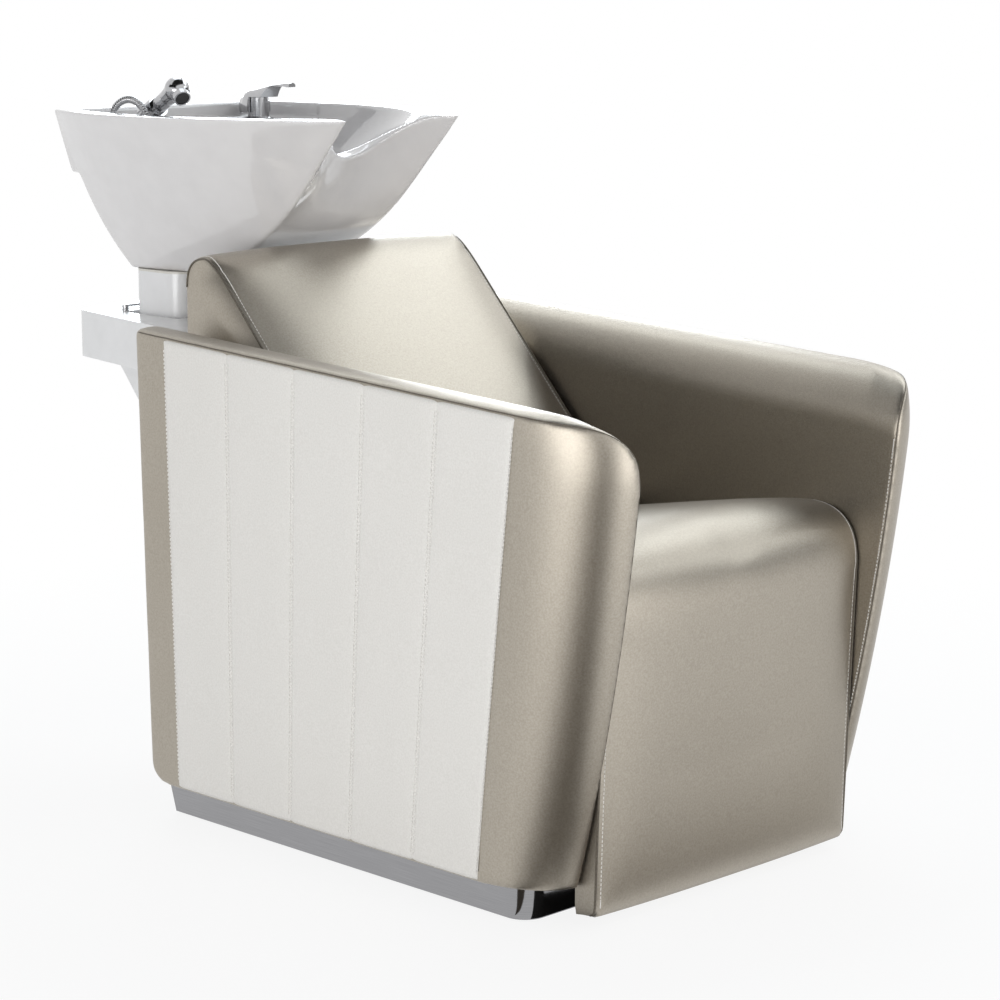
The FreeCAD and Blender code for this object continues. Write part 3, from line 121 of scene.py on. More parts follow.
def leather(name, low, high, rough, metallic=0.0, grain=0.35, crease=0.0):
    """Upholstery leather: pebbled grain, soft tone drift and, if asked, fine creases."""
    mat, tree, bsdf = shader(name)
    flat = coords(tree)
    drift = add(tree, "ShaderNodeTexNoise", [(flat, "Vector")], Scale=5.0, Detail=3.0)
    speck = add(tree, "ShaderNodeTexNoise", [(flat, "Vector")], Scale=420.0, Detail=3.0)
    blend = add(tree, "ShaderNodeMix", [(drift.outputs["Fac"], "A"), (speck.outputs["Fac"], "B")],
                data_type="FLOAT")
    blend.inputs["Factor"].default_value = 0.82
    tone = ramp(tree, blend.outputs["Result"], [(0.34, low), (0.66, high)])
    tree.links.new(tone, bsdf.inputs["Base Color"])
    pebble = add(tree, "ShaderNodeTexVoronoi", [(flat, "Vector")], Scale=620.0)
    pebble.feature = "DISTANCE_TO_EDGE"
    pores = ramp(tree, pebble.outputs["Distance"], [(0.0, grey(0.0)), (0.16, grey(1.0))])
    fine = add(tree, "ShaderNodeTexNoise", [(flat, "Vector")], Scale=900.0, Detail=2.0)
    height = add(tree, "ShaderNodeMix", [(pores, "A"), (fine.outputs["Fac"], "B")], data_type="FLOAT")
    height.inputs["Factor"].default_value = 0.55
    bump = add(tree, "ShaderNodeBump", [(height.outputs["Result"], "Height")], Strength=grain,
               Distance=0.00035)
    last = bump
    if crease:
        upright = coords(tree, (40, 40, 260))
        lines = add(tree, "ShaderNodeTexNoise", [(upright, "Vector")], Scale=1.0, Detail=5.0, Roughness=0.6)
        last = add(tree, "ShaderNodeBump", [(lines.outputs["Fac"], "Height"), (bump.outputs[0], "Normal")],
                   Strength=crease, Distance=0.0012)
    tree.links.new(last.outputs["Normal"], bsdf.inputs["Normal"])
    gloss = add(tree, "ShaderNodeMapRange", [(speck.outputs["Fac"], "Value")])
    gloss.inputs["To Min"].default_value = rough - 0.06
    gloss.inputs["To Max"].default_value = rough + 0.06
    tree.links.new(gloss.outputs["Result"], bsdf.inputs["Roughness"])
    bsdf.inputs["Metallic"].default_value = metallic
    bsdf.inputs["Sheen Weight"].default_value = 0.08
    return mat


def smooth_coat(name, low, high, rough, coat=0.0, metallic=0.0, scale=30.0, ripple=0.0, stretch=(1, 1, 1)):
    """A hard finish with faint tone drift, uneven gloss and a slight ripple."""
    mat, tree, bsdf = shader(name)
    flat = coords(tree, stretch)
    drift = add(tree, "ShaderNodeTexNoise", [(flat, "Vector")], Scale=scale, Detail=5.0)
    tree.links.new(ramp(tree, drift.outputs["Fac"], [(0.3, low), (0.7, high)]), bsdf.inputs["Base Color"])
    gloss = add(tree, "ShaderNodeMapRange", [(drift.outputs["Fac"], "Value")])
    gloss.inputs["To Min"].default_value = rough * 0.8
    gloss.inputs["To Max"].default_value = rough * 1.2
    tree.links.new(gloss.outputs["Result"], bsdf.inputs["Roughness"])
    if ripple:
        bump = add(tree, "ShaderNodeBump", [(drift.outputs["Fac"], "Height")], Strength=ripple,
                   Distance=0.0006)
        tree.links.new(bump.outputs["Normal"], bsdf.inputs["Normal"])
    bsdf.inputs["Metallic"].default_value = metallic
    bsdf.inputs["Coat Weight"].default_value = coat
    bsdf.inputs["Coat Roughness"].default_value = 0.03
    return mat


TAUPE = leather("taupe_leather", (0.360, 0.326, 0.274), (0.440, 0.403, 0.347), 0.40, metallic=1.0, grain=0.3)
CREAM = leather("cream_leather", (0.715, 0.695, 0.655), (0.785, 0.767, 0.73), 0.44, grain=0.3, crease=0.16)
PIPING = leather("piping_leather", (0.10, 0.085, 0.065), (0.16, 0.14, 0.11), 0.42, metallic=0.4)
THREAD = leather("thread", (0.66, 0.64, 0.60), (0.84, 0.82, 0.78), 0.6, grain=0.6)
CREAM_THREAD = leather("cream_thread", (0.78, 0.76, 0.72), (0.88, 0.87, 0.84), 0.55, grain=0.6)
CERAMIC = smooth_coat("ceramic_glaze", (0.70, 0.685, 0.68), (0.73, 0.715, 0.71), 0.10, coat=0.7, ripple=0.015)
PLASTIC = smooth_coat("white_moulding", (0.76, 0.76, 0.76), (0.80, 0.80, 0.80), 0.24, coat=0.25, ripple=0.02)
CHROME = smooth_coat("chrome_plate", (0.44, 0.44, 0.45), (0.50, 0.50, 0.51), 0.14, metallic=1.0, scale=60)
STEEL = smooth_coat("polished_sheet", (0.30, 0.30, 0.31), (0.35, 0.35, 0.36), 0.11, metallic=1.0, scale=14,
                    ripple=0.02, stretch=(1, 1, 60))
PAINT = smooth_coat("dark_paint", (0.035, 0.035, 0.038), (0.055, 0.055, 0.058), 0.45, scale=200, ripple=0.1)
RUBBER = smooth_coat("black_rubber", (0.018, 0.018, 0.018), (0.032, 0.032, 0.032), 0.7, scale=300,
                     ripple=0.15)
NYLON = smooth_coat("nylon", (0.62, 0.60, 0.55), (0.72, 0.70, 0.64), 0.4, scale=100, ripple=0.05)
PLY = smooth_coat("plywood", (0.42, 0.29, 0.16), (0.66, 0.50, 0.31), 0.6, scale=6, ripple=0.2,
                  stretch=(2, 2, 30))
BY_SLOT = {"taupe_leather": TAUPE, "cream_leather": CREAM, "plywood": PLY, "polished_steel": STEEL,
           "dark_steel": PAINT, "white_plastic": PLASTIC, "ceramic": CERAMIC, "black_rubber": RUBBER,
           "nylon": NYLON, "chrome": CHROME}

for row in frame["record"]["subparts"]:
    mesh = nodes[row["node"]].data
    mesh.materials.clear()
    mesh.materials.append(BY_SLOT[row["material_slot"]])


# Mesh helpers
def piece(name, bm, mat, body, replaces=(), sharp=38.0):
    """Finish a mesh, give it a material, and let it ride on its body."""
    bmesh.ops.remove_doubles(bm, verts=bm.verts, dist=MERGE)
    bmesh.ops.dissolve_degenerate(bm, edges=bm.edges, dist=1e-6)
    bmesh.ops.recalc_face_normals(bm, faces=bm.faces)
    mesh = bpy.data.meshes.new(name)
    bm.to_mesh(mesh)
    bm.free()
    for poly in mesh.polygons:
        poly.use_smooth = True
    if sharp:
        mesh.set_sharp_from_angle(angle=math.radians(sharp))
    mesh.materials.append(mat)
    obj = bpy.data.objects.new(name, mesh)
    bpy.context.scene.collection.objects.link(obj)
    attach(obj, body)
    if replaces:
        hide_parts(*replaces)
    return obj


def lay_grid(bm, points, wrap=False):
    """Quads over a rows-by-columns grid of points; returns its vertices."""
    rows, columns = len(points), len(points[0])
    made = [[bm.verts.new(p) for p in row] for row in points]
    for i in range(rows - 1):
        for j in range(columns if wrap else columns - 1):
            k = (j + 1) % columns
            bm.faces.new((made[i][j], made[i + 1][j], made[i + 1][k], made[i][k]))
    return made


def shell(bm, outer, inner):
    """A closed slab between two grids of the same size."""
    a = lay_grid(bm, outer)
    b = lay_grid(bm, inner)
    rows, columns = len(a), len(a[0])
    rim = [(0, j) for j in range(columns)] + [(i, columns - 1) for i in range(1, rows)]
    rim += [(rows - 1, j) for j in range(columns - 2, -1, -1)] + [(i, 0) for i in range(rows - 2, 0, -1)]
    for (i, j), (k, m) in zip(rim, rim[1:] + rim[:1]):
        bm.faces.new((a[i][j], a[k][m], b[k][m], b[i][j]))


def unit(v):
    return v / np.maximum(np.linalg.norm(v, axis=-1, keepdims=True), 1e-12)


def resample(points, step):
    """Points at even steps along a polyline."""
    points = np.asarray(points, float)
    lengths = np.linalg.norm(np.diff(points, axis=0), axis=1)
    along = np.concatenate([[0], np.cumsum(lengths)])
    count = max(2, int(round(along[-1] / step)) + 1)
    marks = np.linspace(0, along[-1], count)
    return np.stack([np.interp(marks, along, points[:, i]) for i in range(points.shape[1])], axis=1)


def bezier(*control, count=12):
    """Points on a curve with these control points."""
    t = np.linspace(0, 1, count)[:, None]
    layer = [np.asarray(p, float)[None, :] for p in control]
    while len(layer) > 1:
        layer = [(1 - t) * a + t * b for a, b in zip(layer, layer[1:])]
    return layer[0]


def tube(bm, path, radius, sides=8):
    """A round closed tube along a path."""
    path = np.asarray(path, float)
    ahead = unit(np.gradient(path, axis=0))
    guide = np.array([0.31, 0.17, 0.93])
    across = unit(np.cross(ahead, guide))
    up = np.cross(ahead, across)
    rings = []
    for p, a, b in zip(path, across, up):
        turn = [2 * math.pi * k / sides for k in range(sides)]
        rings.append([p + radius * (math.cos(t) * a + math.sin(t) * b) for t in turn])
    made = lay_grid(bm, rings, wrap=True)
    bm.faces.new(made[0])
    bm.faces.new(list(reversed(made[-1])))


STITCH_SHAPE = ((-1.0, 0.35), (-0.7, 0.9), (0.0, 1.0), (0.7, 0.9), (1.0, 0.35))
STITCH_TURNS = (0, 1.05, 2.09, 3.14, 4.19, 5.24)


def stitch_row(bm, path, normal):
    """A row of short raised stitches along a path that lies on a surface."""
    length, width = STITCH["length"], STITCH["width"]
    path = np.asarray(path, float)
    normal = np.broadcast_to(np.asarray(normal, float), path.shape)
    spots = resample(np.concatenate([path, normal], axis=1), STITCH["pitch"])
    place, out = spots[:, :3], unit(spots[:, 3:])
    ahead = unit(np.gradient(place, axis=0))
    side = unit(np.cross(ahead, out))
    for p, a, s, n in zip(place[:-1], ahead, side, out):
        rings = []
        for reach, girth in STITCH_SHAPE:
            middle = p + a * reach * length / 2 + n * width * (0.55 * (1 - reach * reach) - 0.25)
            rings.append([middle + width * girth * (math.cos(t) * s + math.sin(t) * n)
                          for t in STITCH_TURNS])
        made = lay_grid(bm, rings, wrap=True)
        bm.faces.new(made[0])
        bm.faces.new(list(reversed(made[-1])))


def mirrored(points, hand):
    return np.asarray(points, float) * np.array([hand, 1, 1])


# Arms
def arm_tip(z):
    """How far forward the leaning front of an arm reaches at a height."""
    share = (ARM["front_top"] - z) / (ARM["front_top"] - ARM["foot"])
    belly = (ARM["tip"] + ARM["toe"]) / 2 - ARM["shin"]
    back = ARM["brow"] * max(0.0, 1 - share / ARM_TURNS["brow"]) ** 2
    return ARM["tip"] + (ARM["toe"] - ARM["tip"]) * share - 4 * belly * share * (1 - share) + back


def arm_out(z):
    return ARM["outer"] - ARM["lean"] * (ARM["rear_top"] - z) / (ARM["rear_top"] - ARM["foot"])


def arm_level(y):
    share = (ARM["rear"] - y) / (ARM["rear"] - ARM["tip"])
    return ARM["rear_top"] + share * (ARM["front_top"] - ARM["rear_top"])


def arm_top(x, y):
    """Height of an arm's top: drooping a little at the front and rolled over on the inner side."""
    droop = ARM["droop"] * max(0.0, 1 - (y - ARM["tip"] - ARM["brow"]) / ARM_TURNS["droop"]) ** 2
    turn = max(0.0, ARM["roll"] - (x - ARM["inner"]))
    rolled = ARM["roll"] - math.sqrt(max(0.0, ARM["roll"] ** 2 - turn ** 2))
    return arm_level(y) - min(droop, 2 * ARM["droop"]) - rolled


def nose_point(q, z):
    """Plan of the rounded front at a height: q = 0 at the inner edge, 1 on the outer face."""
    tip, out, w = arm_tip(z), arm_out(z), arm_out(z) - ARM["inner"]
    pts = ((ARM["inner"], tip), (ARM["inner"] + ARM_TURNS["across"] * w, tip),
           (out, tip + ARM_TURNS["along"] * ARM["nose"]), (out, tip + ARM["nose"]))
    weights = ((1 - q) ** 3, 3 * q * (1 - q) ** 2, 3 * q * q * (1 - q), q ** 3)
    return sum(k * p[0] for k, p in zip(weights, pts)), sum(k * p[1] for k, p in zip(weights, pts))


def panel_line(share, v):
    """A fanned line across the side: share 0 at the front seam, 1 at the rear seam; v is 0 at the foot."""
    front = PANEL["front_foot"] + v * (PANEL["front_top"] - PANEL["front_foot"])
    rear = PANEL["rear_foot"] + v * (PANEL["rear_top"] - PANEL["rear_foot"])
    return front + share * (rear - front)


NOSE_COLUMNS = 37
COVER_ROWS = np.concatenate([[0, 0.006, 0.014, 0.028], np.linspace(0.05, 1, 44)])


def cover_columns():
    """Columns of the outer cover, from the inner front edge round the nose to the rear."""
    columns = [("nose", q) for q in np.linspace(0, 1, NOSE_COLUMNS) ** 1.5]
    columns += [("strip", q) for q in (0.08, 0.2, 0.35, 0.5, 0.65, 0.8, 0.9, 0.95, 0.98, 1.0)]
    columns += [("bed", q) for q in np.linspace(0.0, 1.0, 13)]
    columns += [("back", q) for q in (0.0, 0.03, 0.08, 0.16, 0.3, 0.5, 0.75, 1.0)]
    columns += [("heel", q) for q in np.linspace(0.1, 1.0, 9)]
    return columns


def cover_point(kind, q, v, top):
    """A point of the outer cover at share v of the way up to its top edge."""
    z = ARM["foot"] + v * (top - ARM["foot"])
    out = arm_out(z)
    start = arm_tip(z) + ARM["nose"]
    if kind == "nose":
        x, y = nose_point(q, z)
    elif kind == "strip":
        x, y = out, start + q * max(panel_line(0, v) - start, ARM_TURNS["gap"])
    elif kind == "bed":
        x, y = out, max(panel_line(q, v), start + (1 + q / 2) * ARM_TURNS["gap"])
    elif kind == "back":
        start = panel_line(1, v)
        x, y = out, start + q * (ARM["rear"] - ARM["heel"] - start)
    else:
        turn = q * math.pi / 2
        x = out - ARM["heel"] * (1 - math.cos(turn))
        y = ARM["rear"] - ARM["heel"] * (1 - math.sin(turn))
    return np.array([x, y, z])


def column_top(kind, q):
    """Height where a column of the cover meets the top seam."""
    low, high = ARM["front_top"] - 2 * ARM["roll"], ARM["rear_top"] + 0.01
    for _ in range(40):
        middle = (low + high) / 2
        x, y, _ = cover_point(kind, q, 1.0, middle)
        if arm_top(x, y) > middle:
            low = middle
        else:
            high = middle
    return middle


def heel_cut(y):
    """Height of the arm's underside, rounded up at the rear."""
    radius = ARM_TURNS["underside"]
    reach = max(0.0, y - (ARM["rear"] - radius))
    return radius - math.sqrt(max(0.0, radius ** 2 - reach ** 2))


def softened(bm, voxel, rounds):
    """The same closed form with its edges rounded off: remeshed evenly, then relaxed."""
    mesh = bpy.data.meshes.new("draft")
    bm.to_mesh(mesh)
    bm.free()
    draft = bpy.data.objects.new("draft", mesh)
    bpy.context.scene.collection.objects.link(draft)
    remesh = draft.modifiers.new("voxels", "REMESH")
    remesh.mode = "VOXEL"
    remesh.voxel_size = voxel
    relax = draft.modifiers.new("relax", "SMOOTH")
    relax.factor = 0.5
    relax.iterations = rounds
    made = bpy.data.meshes.new_from_object(draft.evaluated_get(bpy.context.evaluated_depsgraph_get()))
    bm = bmesh.new()
    bm.from_mesh(made)
    bpy.data.objects.remove(draft)
    bpy.data.meshes.remove(mesh)
    bpy.data.meshes.remove(made)
    return bm


def laid_on(tree, track):
    """A line moved onto a surface and evened out, with the surface's directions along it."""
    found = [tree.find_nearest(Vector(p)) for p in track]
    place, out = (np.array([f[k][:] for f in found]) for k in (0, 1))
    for _ in range(6):
        for line in (place, out):
            line[1:-1] = (line[:-2] + 2 * line[1:-1] + line[2:]) / 4
    return place, unit(out)


def cover_grids():
    """Outer side, top and inner lining of an arm's cover, as grids that meet edge to edge."""
    columns = cover_columns()
    tops = [column_top(*c) for c in columns]
    outer = []
    for v in COVER_ROWS:
        line = [cover_point(kind, q, v, top) for (kind, q), top in zip(columns, tops)]
        outer.append([(x, y, max(z, ARM["foot"] + heel_cut(y))) for x, y, z in line])
    outer = np.array(outer)

    inner, rear = ARM["inner"], ARM["rear"]
    nose, side = outer[-1, :NOSE_COLUMNS], outer[-1, NOSE_COLUMNS - 1:]
    last = nose[-1]
    cap = []
    for p in nose:
        line = []
        for k in side:
            y = p[1] + (k[1] - last[1]) * (rear - p[1]) / (rear - last[1])
            x = inner + (p[0] - inner) * (k[0] - inner) / (last[0] - inner)
            away = min(k[0] - x, y - p[1])
            fill = (1 - math.exp(-away / ARM_TURNS["puff"])) * min(1.0, (x - inner) / ARM_TURNS["inner_puff"])
            line.append((x, y, arm_top(x, y) + ARM["puff"] * fill))
        cap.append(line)
    cap = np.array(cap)

    lining = []
    for w in 1 - COVER_ROWS[::-1]:
        line = []
        for _, y, top in cap[0]:
            z = top + w * (ARM["foot"] - top)
            y = rear + (y - rear) / (arm_tip(top) - rear) * (arm_tip(z) - rear)
            line.append((inner, y, max(z, ARM["foot"] + heel_cut(y))))
        lining.append(line)
    return outer, cap, np.array(lining)


def arm_cover(hand, name, outer, cap, lining):
    """An arm's padded leather cover; returns its surface."""
    bm = bmesh.new()
    underside = np.array([outer[0, NOSE_COLUMNS - 1:], lining[-1]])
    for grid in (outer, cap, lining, underside):
        lay_grid(bm, mirrored(grid, hand))
    rear_loop = np.concatenate([outer[:, -1], cap[-2::-1, -1], lining[1:, -1]])
    for loop in (outer[0, :NOSE_COLUMNS], rear_loop):
        bm.faces.new([bm.verts.new(p) for p in mirrored(loop, hand)])
    bmesh.ops.remove_doubles(bm, verts=bm.verts, dist=MERGE)
    bmesh.ops.recalc_face_normals(bm, faces=bm.faces)
    bm = softened(bm, **ARM_RELAX)
    surface = BVHTree.FromBMesh(bm)
    arm = piece(f"arm_cover_{name}", bm, TAUPE, "chair", [f"arm_pad_{name}"], sharp=None)
    return surface


def arm_seam(hand, surface, top_edge):
    """Piping up an arm's inner front edge and along its top, and stitches beside the front edge."""
    rise = np.linspace(ARM["foot"] + SEAM["low"], top_edge[0][2] - SEAM["high"], 60)
    edge = np.array([(ARM["inner"], arm_tip(z), z) for z in rise])
    set_in = np.array([0, SEAM["set_in"], 0])
    rim = [p + set_in * (1 - q) ** 2 * (kind == "nose")
           for p, (kind, q) in zip(top_edge, cover_columns()) if kind != "heel"]
    path = resample(np.concatenate([edge + set_in, rim]), SEAM["arm_step"])
    piping = bmesh.new()
    track, _ = laid_on(surface, mirrored(path, hand))
    tube(piping, track, SEAM["arm"])
    thread = bmesh.new()
    track, out = laid_on(surface, mirrored(edge + (0, SEAM["stitches"], 0), hand))
    stitch_row(thread, track, out)
    return piping, thread


CHANNEL_STEPS = np.array([0, 0.008, 0.02, 0.045, 0.09, 0.16, 0.28, 0.42, 0.58, 0.72, 0.84, 0.91, 0.955, 0.98,
                          0.992])
PANEL_ROWS = np.concatenate([[0, 0.004, 0.010, 0.02], np.linspace(0.04, 0.96, 44),
                             [0.975, 0.985, 0.991, 0.996, 1]])


def panel_grids():
    """Face and back of a quilted side panel: crowned channels between tucked seams."""
    channels, base, bend = PANEL["channels"], ARM["foot"] + PANEL["margin"], PANEL_EDGE["round"]
    shares = np.concatenate([(CHANNEL_STEPS + k) / channels for k in range(channels)] + [[1.0]])
    face, under = [], []
    for v in PANEL_ROWS:
        line, back = [], []
        for s in shares:
            y = panel_line(s, v)
            top = arm_level(panel_line(s, 1.0)) - PANEL["drop"]
            z = base + v * (top - base)
            ebb = max(0.0, bend - (top + PANEL["drop"] - z))
            skin = arm_out(z) - bend + math.sqrt(bend ** 2 - ebb ** 2)
            hollow = abs(2 * ((s * channels) % 1.0) - 1)
            crown = PANEL["crown"] * (1 - hollow ** 9) - PANEL_EDGE["sink"]
            rim = min(min(s, 1 - s) * PANEL_EDGE["width"], z - base, top - z)
            tuck = PANEL["seam"] * math.exp(-rim / PANEL_EDGE["tuck"])
            line.append((skin + PANEL_EDGE["proud"] + crown - tuck, y, z))
            back.append((skin - PANEL["depth"], y, z))
        face.append(line)
        under.append(back)
    return np.array(face), np.array(under)


def quilted_panel(hand, name):
    """An arm's quilted side panel; returns its face."""
    face, under = panel_grids()
    bm = bmesh.new()
    shell(bm, mirrored(face, hand), mirrored(under, hand))
    panel = piece(f"quilted_panel_{name}", bm, CREAM, "chair", [f"side_panel_{name}"],
                  sharp=60)
    return face


def panel_seams(hand, face, piping):
    """Stitches on both sides of each channel's seam, and piping down the panel's front and rear edges."""
    face = face[3:-3]
    thread = bmesh.new()
    for k in range(PANEL["channels"] + 1):
        for beside in (2, -2):
            column = k * len(CHANNEL_STEPS) + beside
            if 0 <= column < face.shape[1]:
                path = face[:, column] + (SEAM["panel_lift"], 0, 0)
                stitch_row(thread, mirrored(path, hand), (hand, 0, 0))
    for edge, beside in ((0, 1), (-1, -2)):
        path = face[:, edge].copy()
        path[:, 0] = face[:, beside, 0] - SEAM["panel_sink"]
        tube(piping, resample(mirrored(path, hand), SEAM["panel_step"]), SEAM["panel"])
    return thread


def build_arm(hand, name):
    outer, cap, lining = cover_grids()
    surface = arm_cover(hand, name, outer, cap, lining)
    piping, thread = arm_seam(hand, surface, outer[-1])
    face = quilted_panel(hand, name)
    fine = panel_seams(hand, face, piping)
    piece(f"arm_piping_{name}", piping, PIPING, "chair", sharp=None)
    piece(f"arm_stitches_{name}", thread, THREAD, "chair", sharp=None)
    piece(f"channel_stitches_{name}", fine, CREAM_THREAD, "chair", sharp=None)


for hand, name in ((1, "right"), (-1, "left")):
    build_arm(hand, name)


# Seat and back
def seat_level(y):
    crest = SEAT["front"] + SEAT["nose"]
    return SEAT["top"] - (y - crest) * math.tan(math.radians(SEAT["tilt"]))


def back_line(z, depth=0.0):
    lean = math.radians(BACK["recline"])
    return BACK["rear"] - BACK["head"] - (BACK["top"] - z) * math.tan(lean) + depth / math.cos(lean)


def foot_on_seat(depth):
    """Where the back's front face, set in by a depth, comes down on the seat."""
    z = SEAT["top"]
    for _ in range(60):
        z = 0.5 * z + 0.5 * (seat_level(back_line(z, depth)) + 0.75 * SEAT["crown"])
    return back_line(z, depth), z


def swell(obj, held):
    """Let the cover fill out under pressure, with some points held and none moved by more than a cap."""
    cap = SWELL["cap"]
    rest = np.array([v.co[:] for v in obj.data.vertices])
    obj.vertex_groups.new(name="held").add(held, 1.0, "REPLACE")
    cloth = obj.modifiers.new("fill", "CLOTH")
    cloth.settings.quality = SWELL["quality"]
    cloth.settings.mass = SWELL["mass"]
    cloth.settings.tension_stiffness = SWELL["stretch"]
    cloth.settings.compression_stiffness = SWELL["stretch"]
    cloth.settings.bending_stiffness = SWELL["bend"]
    cloth.settings.use_pressure = True
    cloth.settings.uniform_pressure_force = SWELL["pressure"]
    cloth.settings.effector_weights.gravity = 0
    cloth.settings.vertex_group_mass = "held"
    cloth.point_cache.frame_end = SWELL["frames"]
    for step in range(1, SWELL["frames"] + 1):
        bpy.context.scene.frame_set(step)
    filled = obj.evaluated_get(bpy.context.evaluated_depsgraph_get()).data
    moved = np.array([v.co[:] for v in filled.vertices]) - rest
    obj.modifiers.remove(cloth)
    obj.vertex_groups.clear()
    bpy.context.scene.frame_set(1)
    reach = np.linalg.norm(moved, axis=1, keepdims=True)
    moved *= cap * np.tanh(reach / cap) / np.maximum(reach, 1e-9)
    for vertex, p in zip(obj.data.vertices, rest + moved):
        vertex.co = p
    obj.data.update()
    return rest + moved


def pad_from_profile(name, half, face, under, crown_at, replaces):
    """A pad made of one profile drawn across the width: crowned face, tight side seams, plain underside.

    Returns the face's points, row by row across the width."""
    face = np.asarray(face, float)
    ahead = unit(np.gradient(face, axis=0))
    normal = np.stack([ahead[:, 1], -ahead[:, 0]], axis=1)
    turn = np.linspace(-1, 1, PAD_EDGE["columns"])
    spread = np.sign(turn) * (1 - (1 - np.abs(turn)) ** 1.6)
    rows = []
    for s in spread:
        x = s * half
        inset = half - abs(x)
        bulge = 1 - abs(s) ** 2.6
        tuck = PAD_EDGE["depth"] * math.exp(-(inset / PAD_EDGE["width"]) ** 1.3)
        lift = np.array([crown_at(k) for k in np.linspace(0, 1, len(face))]) * bulge - tuck
        moved = face + normal * lift[:, None]
        loop = np.concatenate([moved, under])
        rows.append([(x, p[0], p[1]) for p in loop])
    rows = np.array(rows)
    bm = bmesh.new()
    made = lay_grid(bm, rows, wrap=True)
    bm.faces.new(list(reversed(made[0])))
    bm.faces.new(made[-1])
    obj = piece(name, bm, TAUPE, "chair", replaces, sharp=50)
    finder = KDTree(len(obj.data.vertices))
    for index, vertex in enumerate(obj.data.vertices):
        finder.insert(vertex.co, index)
    finder.balance()
    top = np.array([[finder.find(p)[1] for p in line] for line in rows[:, :len(face)]])
    free = set(top[1:-1, 3:-3].ravel().tolist())
    held = [v.index for v in obj.data.vertices if v.index not in free]
    filled = swell(obj, held)
    return filled[top]


crest = SEAT["front"] + SEAT["nose"]
toe_y = SEAT["front"] + SEAT["rake"]
heel_y = SEAT["front"] + SEAT["skirt"]
seat_face = np.concatenate([
    [(SEAT["rear"], seat_level(SEAT["rear"]))],
    bezier((crest, SEAT["top"]), (SEAT["front"], SEAT["top"]), (SEAT["front"], SEAT["top"] - SEAT["nose"]),
           count=22),
    bezier((toe_y, SEAT["foot"] + 0.017), (toe_y, SEAT["foot"]), (toe_y + 0.010, SEAT["foot"]), count=7)])
seat_face = resample(seat_face, 0.008)
seat_under = np.array([(heel_y - 0.002, SEAT["foot"]), (heel_y, SEAT["foot"] + 0.010),
                       (heel_y, seat_level(heel_y) - SEAT["thick"]),
                       (SEAT["rear"], seat_level(SEAT["rear"]) - SEAT["thick"])])


def seat_crown(k):
    return SEAT["crown"] * (1.0 if k < 0.45 else max(0.2, 1 - (k - 0.45) * 2.2))


seat_rows = pad_from_profile("seat_cover", SEAT["half"], seat_face, seat_under, seat_crown, ["seat_pad"])

toe = foot_on_seat(0.0)
brow = BACK["top"] - BACK["round"]
peak = 0.75 * back_line(BACK["top"]) + 0.25 * BACK["rear"]
back_face = np.concatenate([
    [toe],
    bezier((back_line(brow), brow), (back_line(BACK["top"]), BACK["top"]), (peak, BACK["top"]), count=16),
    bezier((peak, BACK["top"]), (BACK["rear"], BACK["top"]), (BACK["rear"], brow), count=14)[1:]])
back_face = resample(back_face, 0.007)[::-1]
inner_rear = BACK["rear"] - BACK["board"]
ankle = foot_on_seat(0.078)
back_under = np.array([(ankle[0], ankle[1] + 0.0006), (inner_rear, ankle[1]), (inner_rear, BACK["foot"]),
                       (BACK["rear"], BACK["foot"])])


def back_crown(k):
    return BACK["crown"] * math.sin(math.pi * min(1.0, max(0.0, k)) ** 0.8) ** 0.7


back_rows = pad_from_profile("back_cover", BACK["half"], back_face, back_under, back_crown,
                             ["back_pad", "back_cheek_left", "back_cheek_right", "back_panel"])


def leather_apron(name, half, rear, low, high, thick=0.0025):
    """A leather sheet over the board below the back."""
    bm = bmesh.new()
    faces = [[[(x, y, z) for x in (-half, half)] for z in (low, high)] for y in (rear + thick, rear)]
    shell(bm, *faces)
    piece(name, bm, TAUPE, "chair")


leather_apron("back_apron", BACK["half"] - 0.001, inner_rear + 0.0004, 0.050, BACK["foot"] + 0.002)


def dress_edges(name, rows, span):
    """Piping along both side seams of a pad, and a row of stitches beside each over part of its length."""
    bm = bmesh.new()
    thread = bmesh.new()
    for index, inward in ((0, 1), (-1, -1)):
        tube(bm, resample(rows[index], SEAM["pad_step"]), SEAM["pad"])
        near = rows[index + PAD_EDGE["stitches"] * inward]
        track = resample(near[slice(*span)], SEAM["pad_stitch_step"])
        ahead = unit(np.gradient(track, axis=0))
        out = np.cross(ahead, np.array([-1.0, 0, 0]))
        stitch_row(thread, track + out * SEAM["pad_lift"], out)
    piece(f"{name}_piping", bm, PIPING, "chair", sharp=None)
    piece(f"{name}_stitches", thread, THREAD, "chair", sharp=None)


dress_edges("seat", seat_rows, (1, -2))
dress_edges("back", back_rows, (1, -1))


# Hand shower hose
HOSE_ROUTE = ((-0.122, 0.5301, 0.9290), (-0.122, 0.5238, 0.9406), (-0.122, 0.5012, 0.9540),
              (-0.122, 0.4748, 0.9540), (-0.122, 0.4522, 0.9406), (-0.122, 0.4459, 0.9290))
HOSE = dict(step=0.0005, radius=0.0053, groove=0.0016, pitch=0.0042, diameter=0.0104)


def spline_points(route):
    curve = bpy.data.curves.new("hose_route", "CURVE")
    curve.dimensions = "3D"
    curve.resolution_u = 24
    spline = curve.splines.new("NURBS")
    spline.points.add(len(route) - 1)
    for point, p in zip(spline.points, route):
        point.co = (*p, 1)
    spline.order_u = 3
    spline.use_endpoint_u = True
    holder = bpy.data.objects.new("hose_route", curve)
    bpy.context.scene.collection.objects.link(holder)
    mesh = bpy.data.meshes.new_from_object(holder.evaluated_get(bpy.context.evaluated_depsgraph_get()))
    pts = np.array([v.co[:] for v in mesh.vertices])
    bpy.data.objects.remove(holder)
    bpy.data.curves.remove(curve)
    bpy.data.meshes.remove(mesh)
    return pts


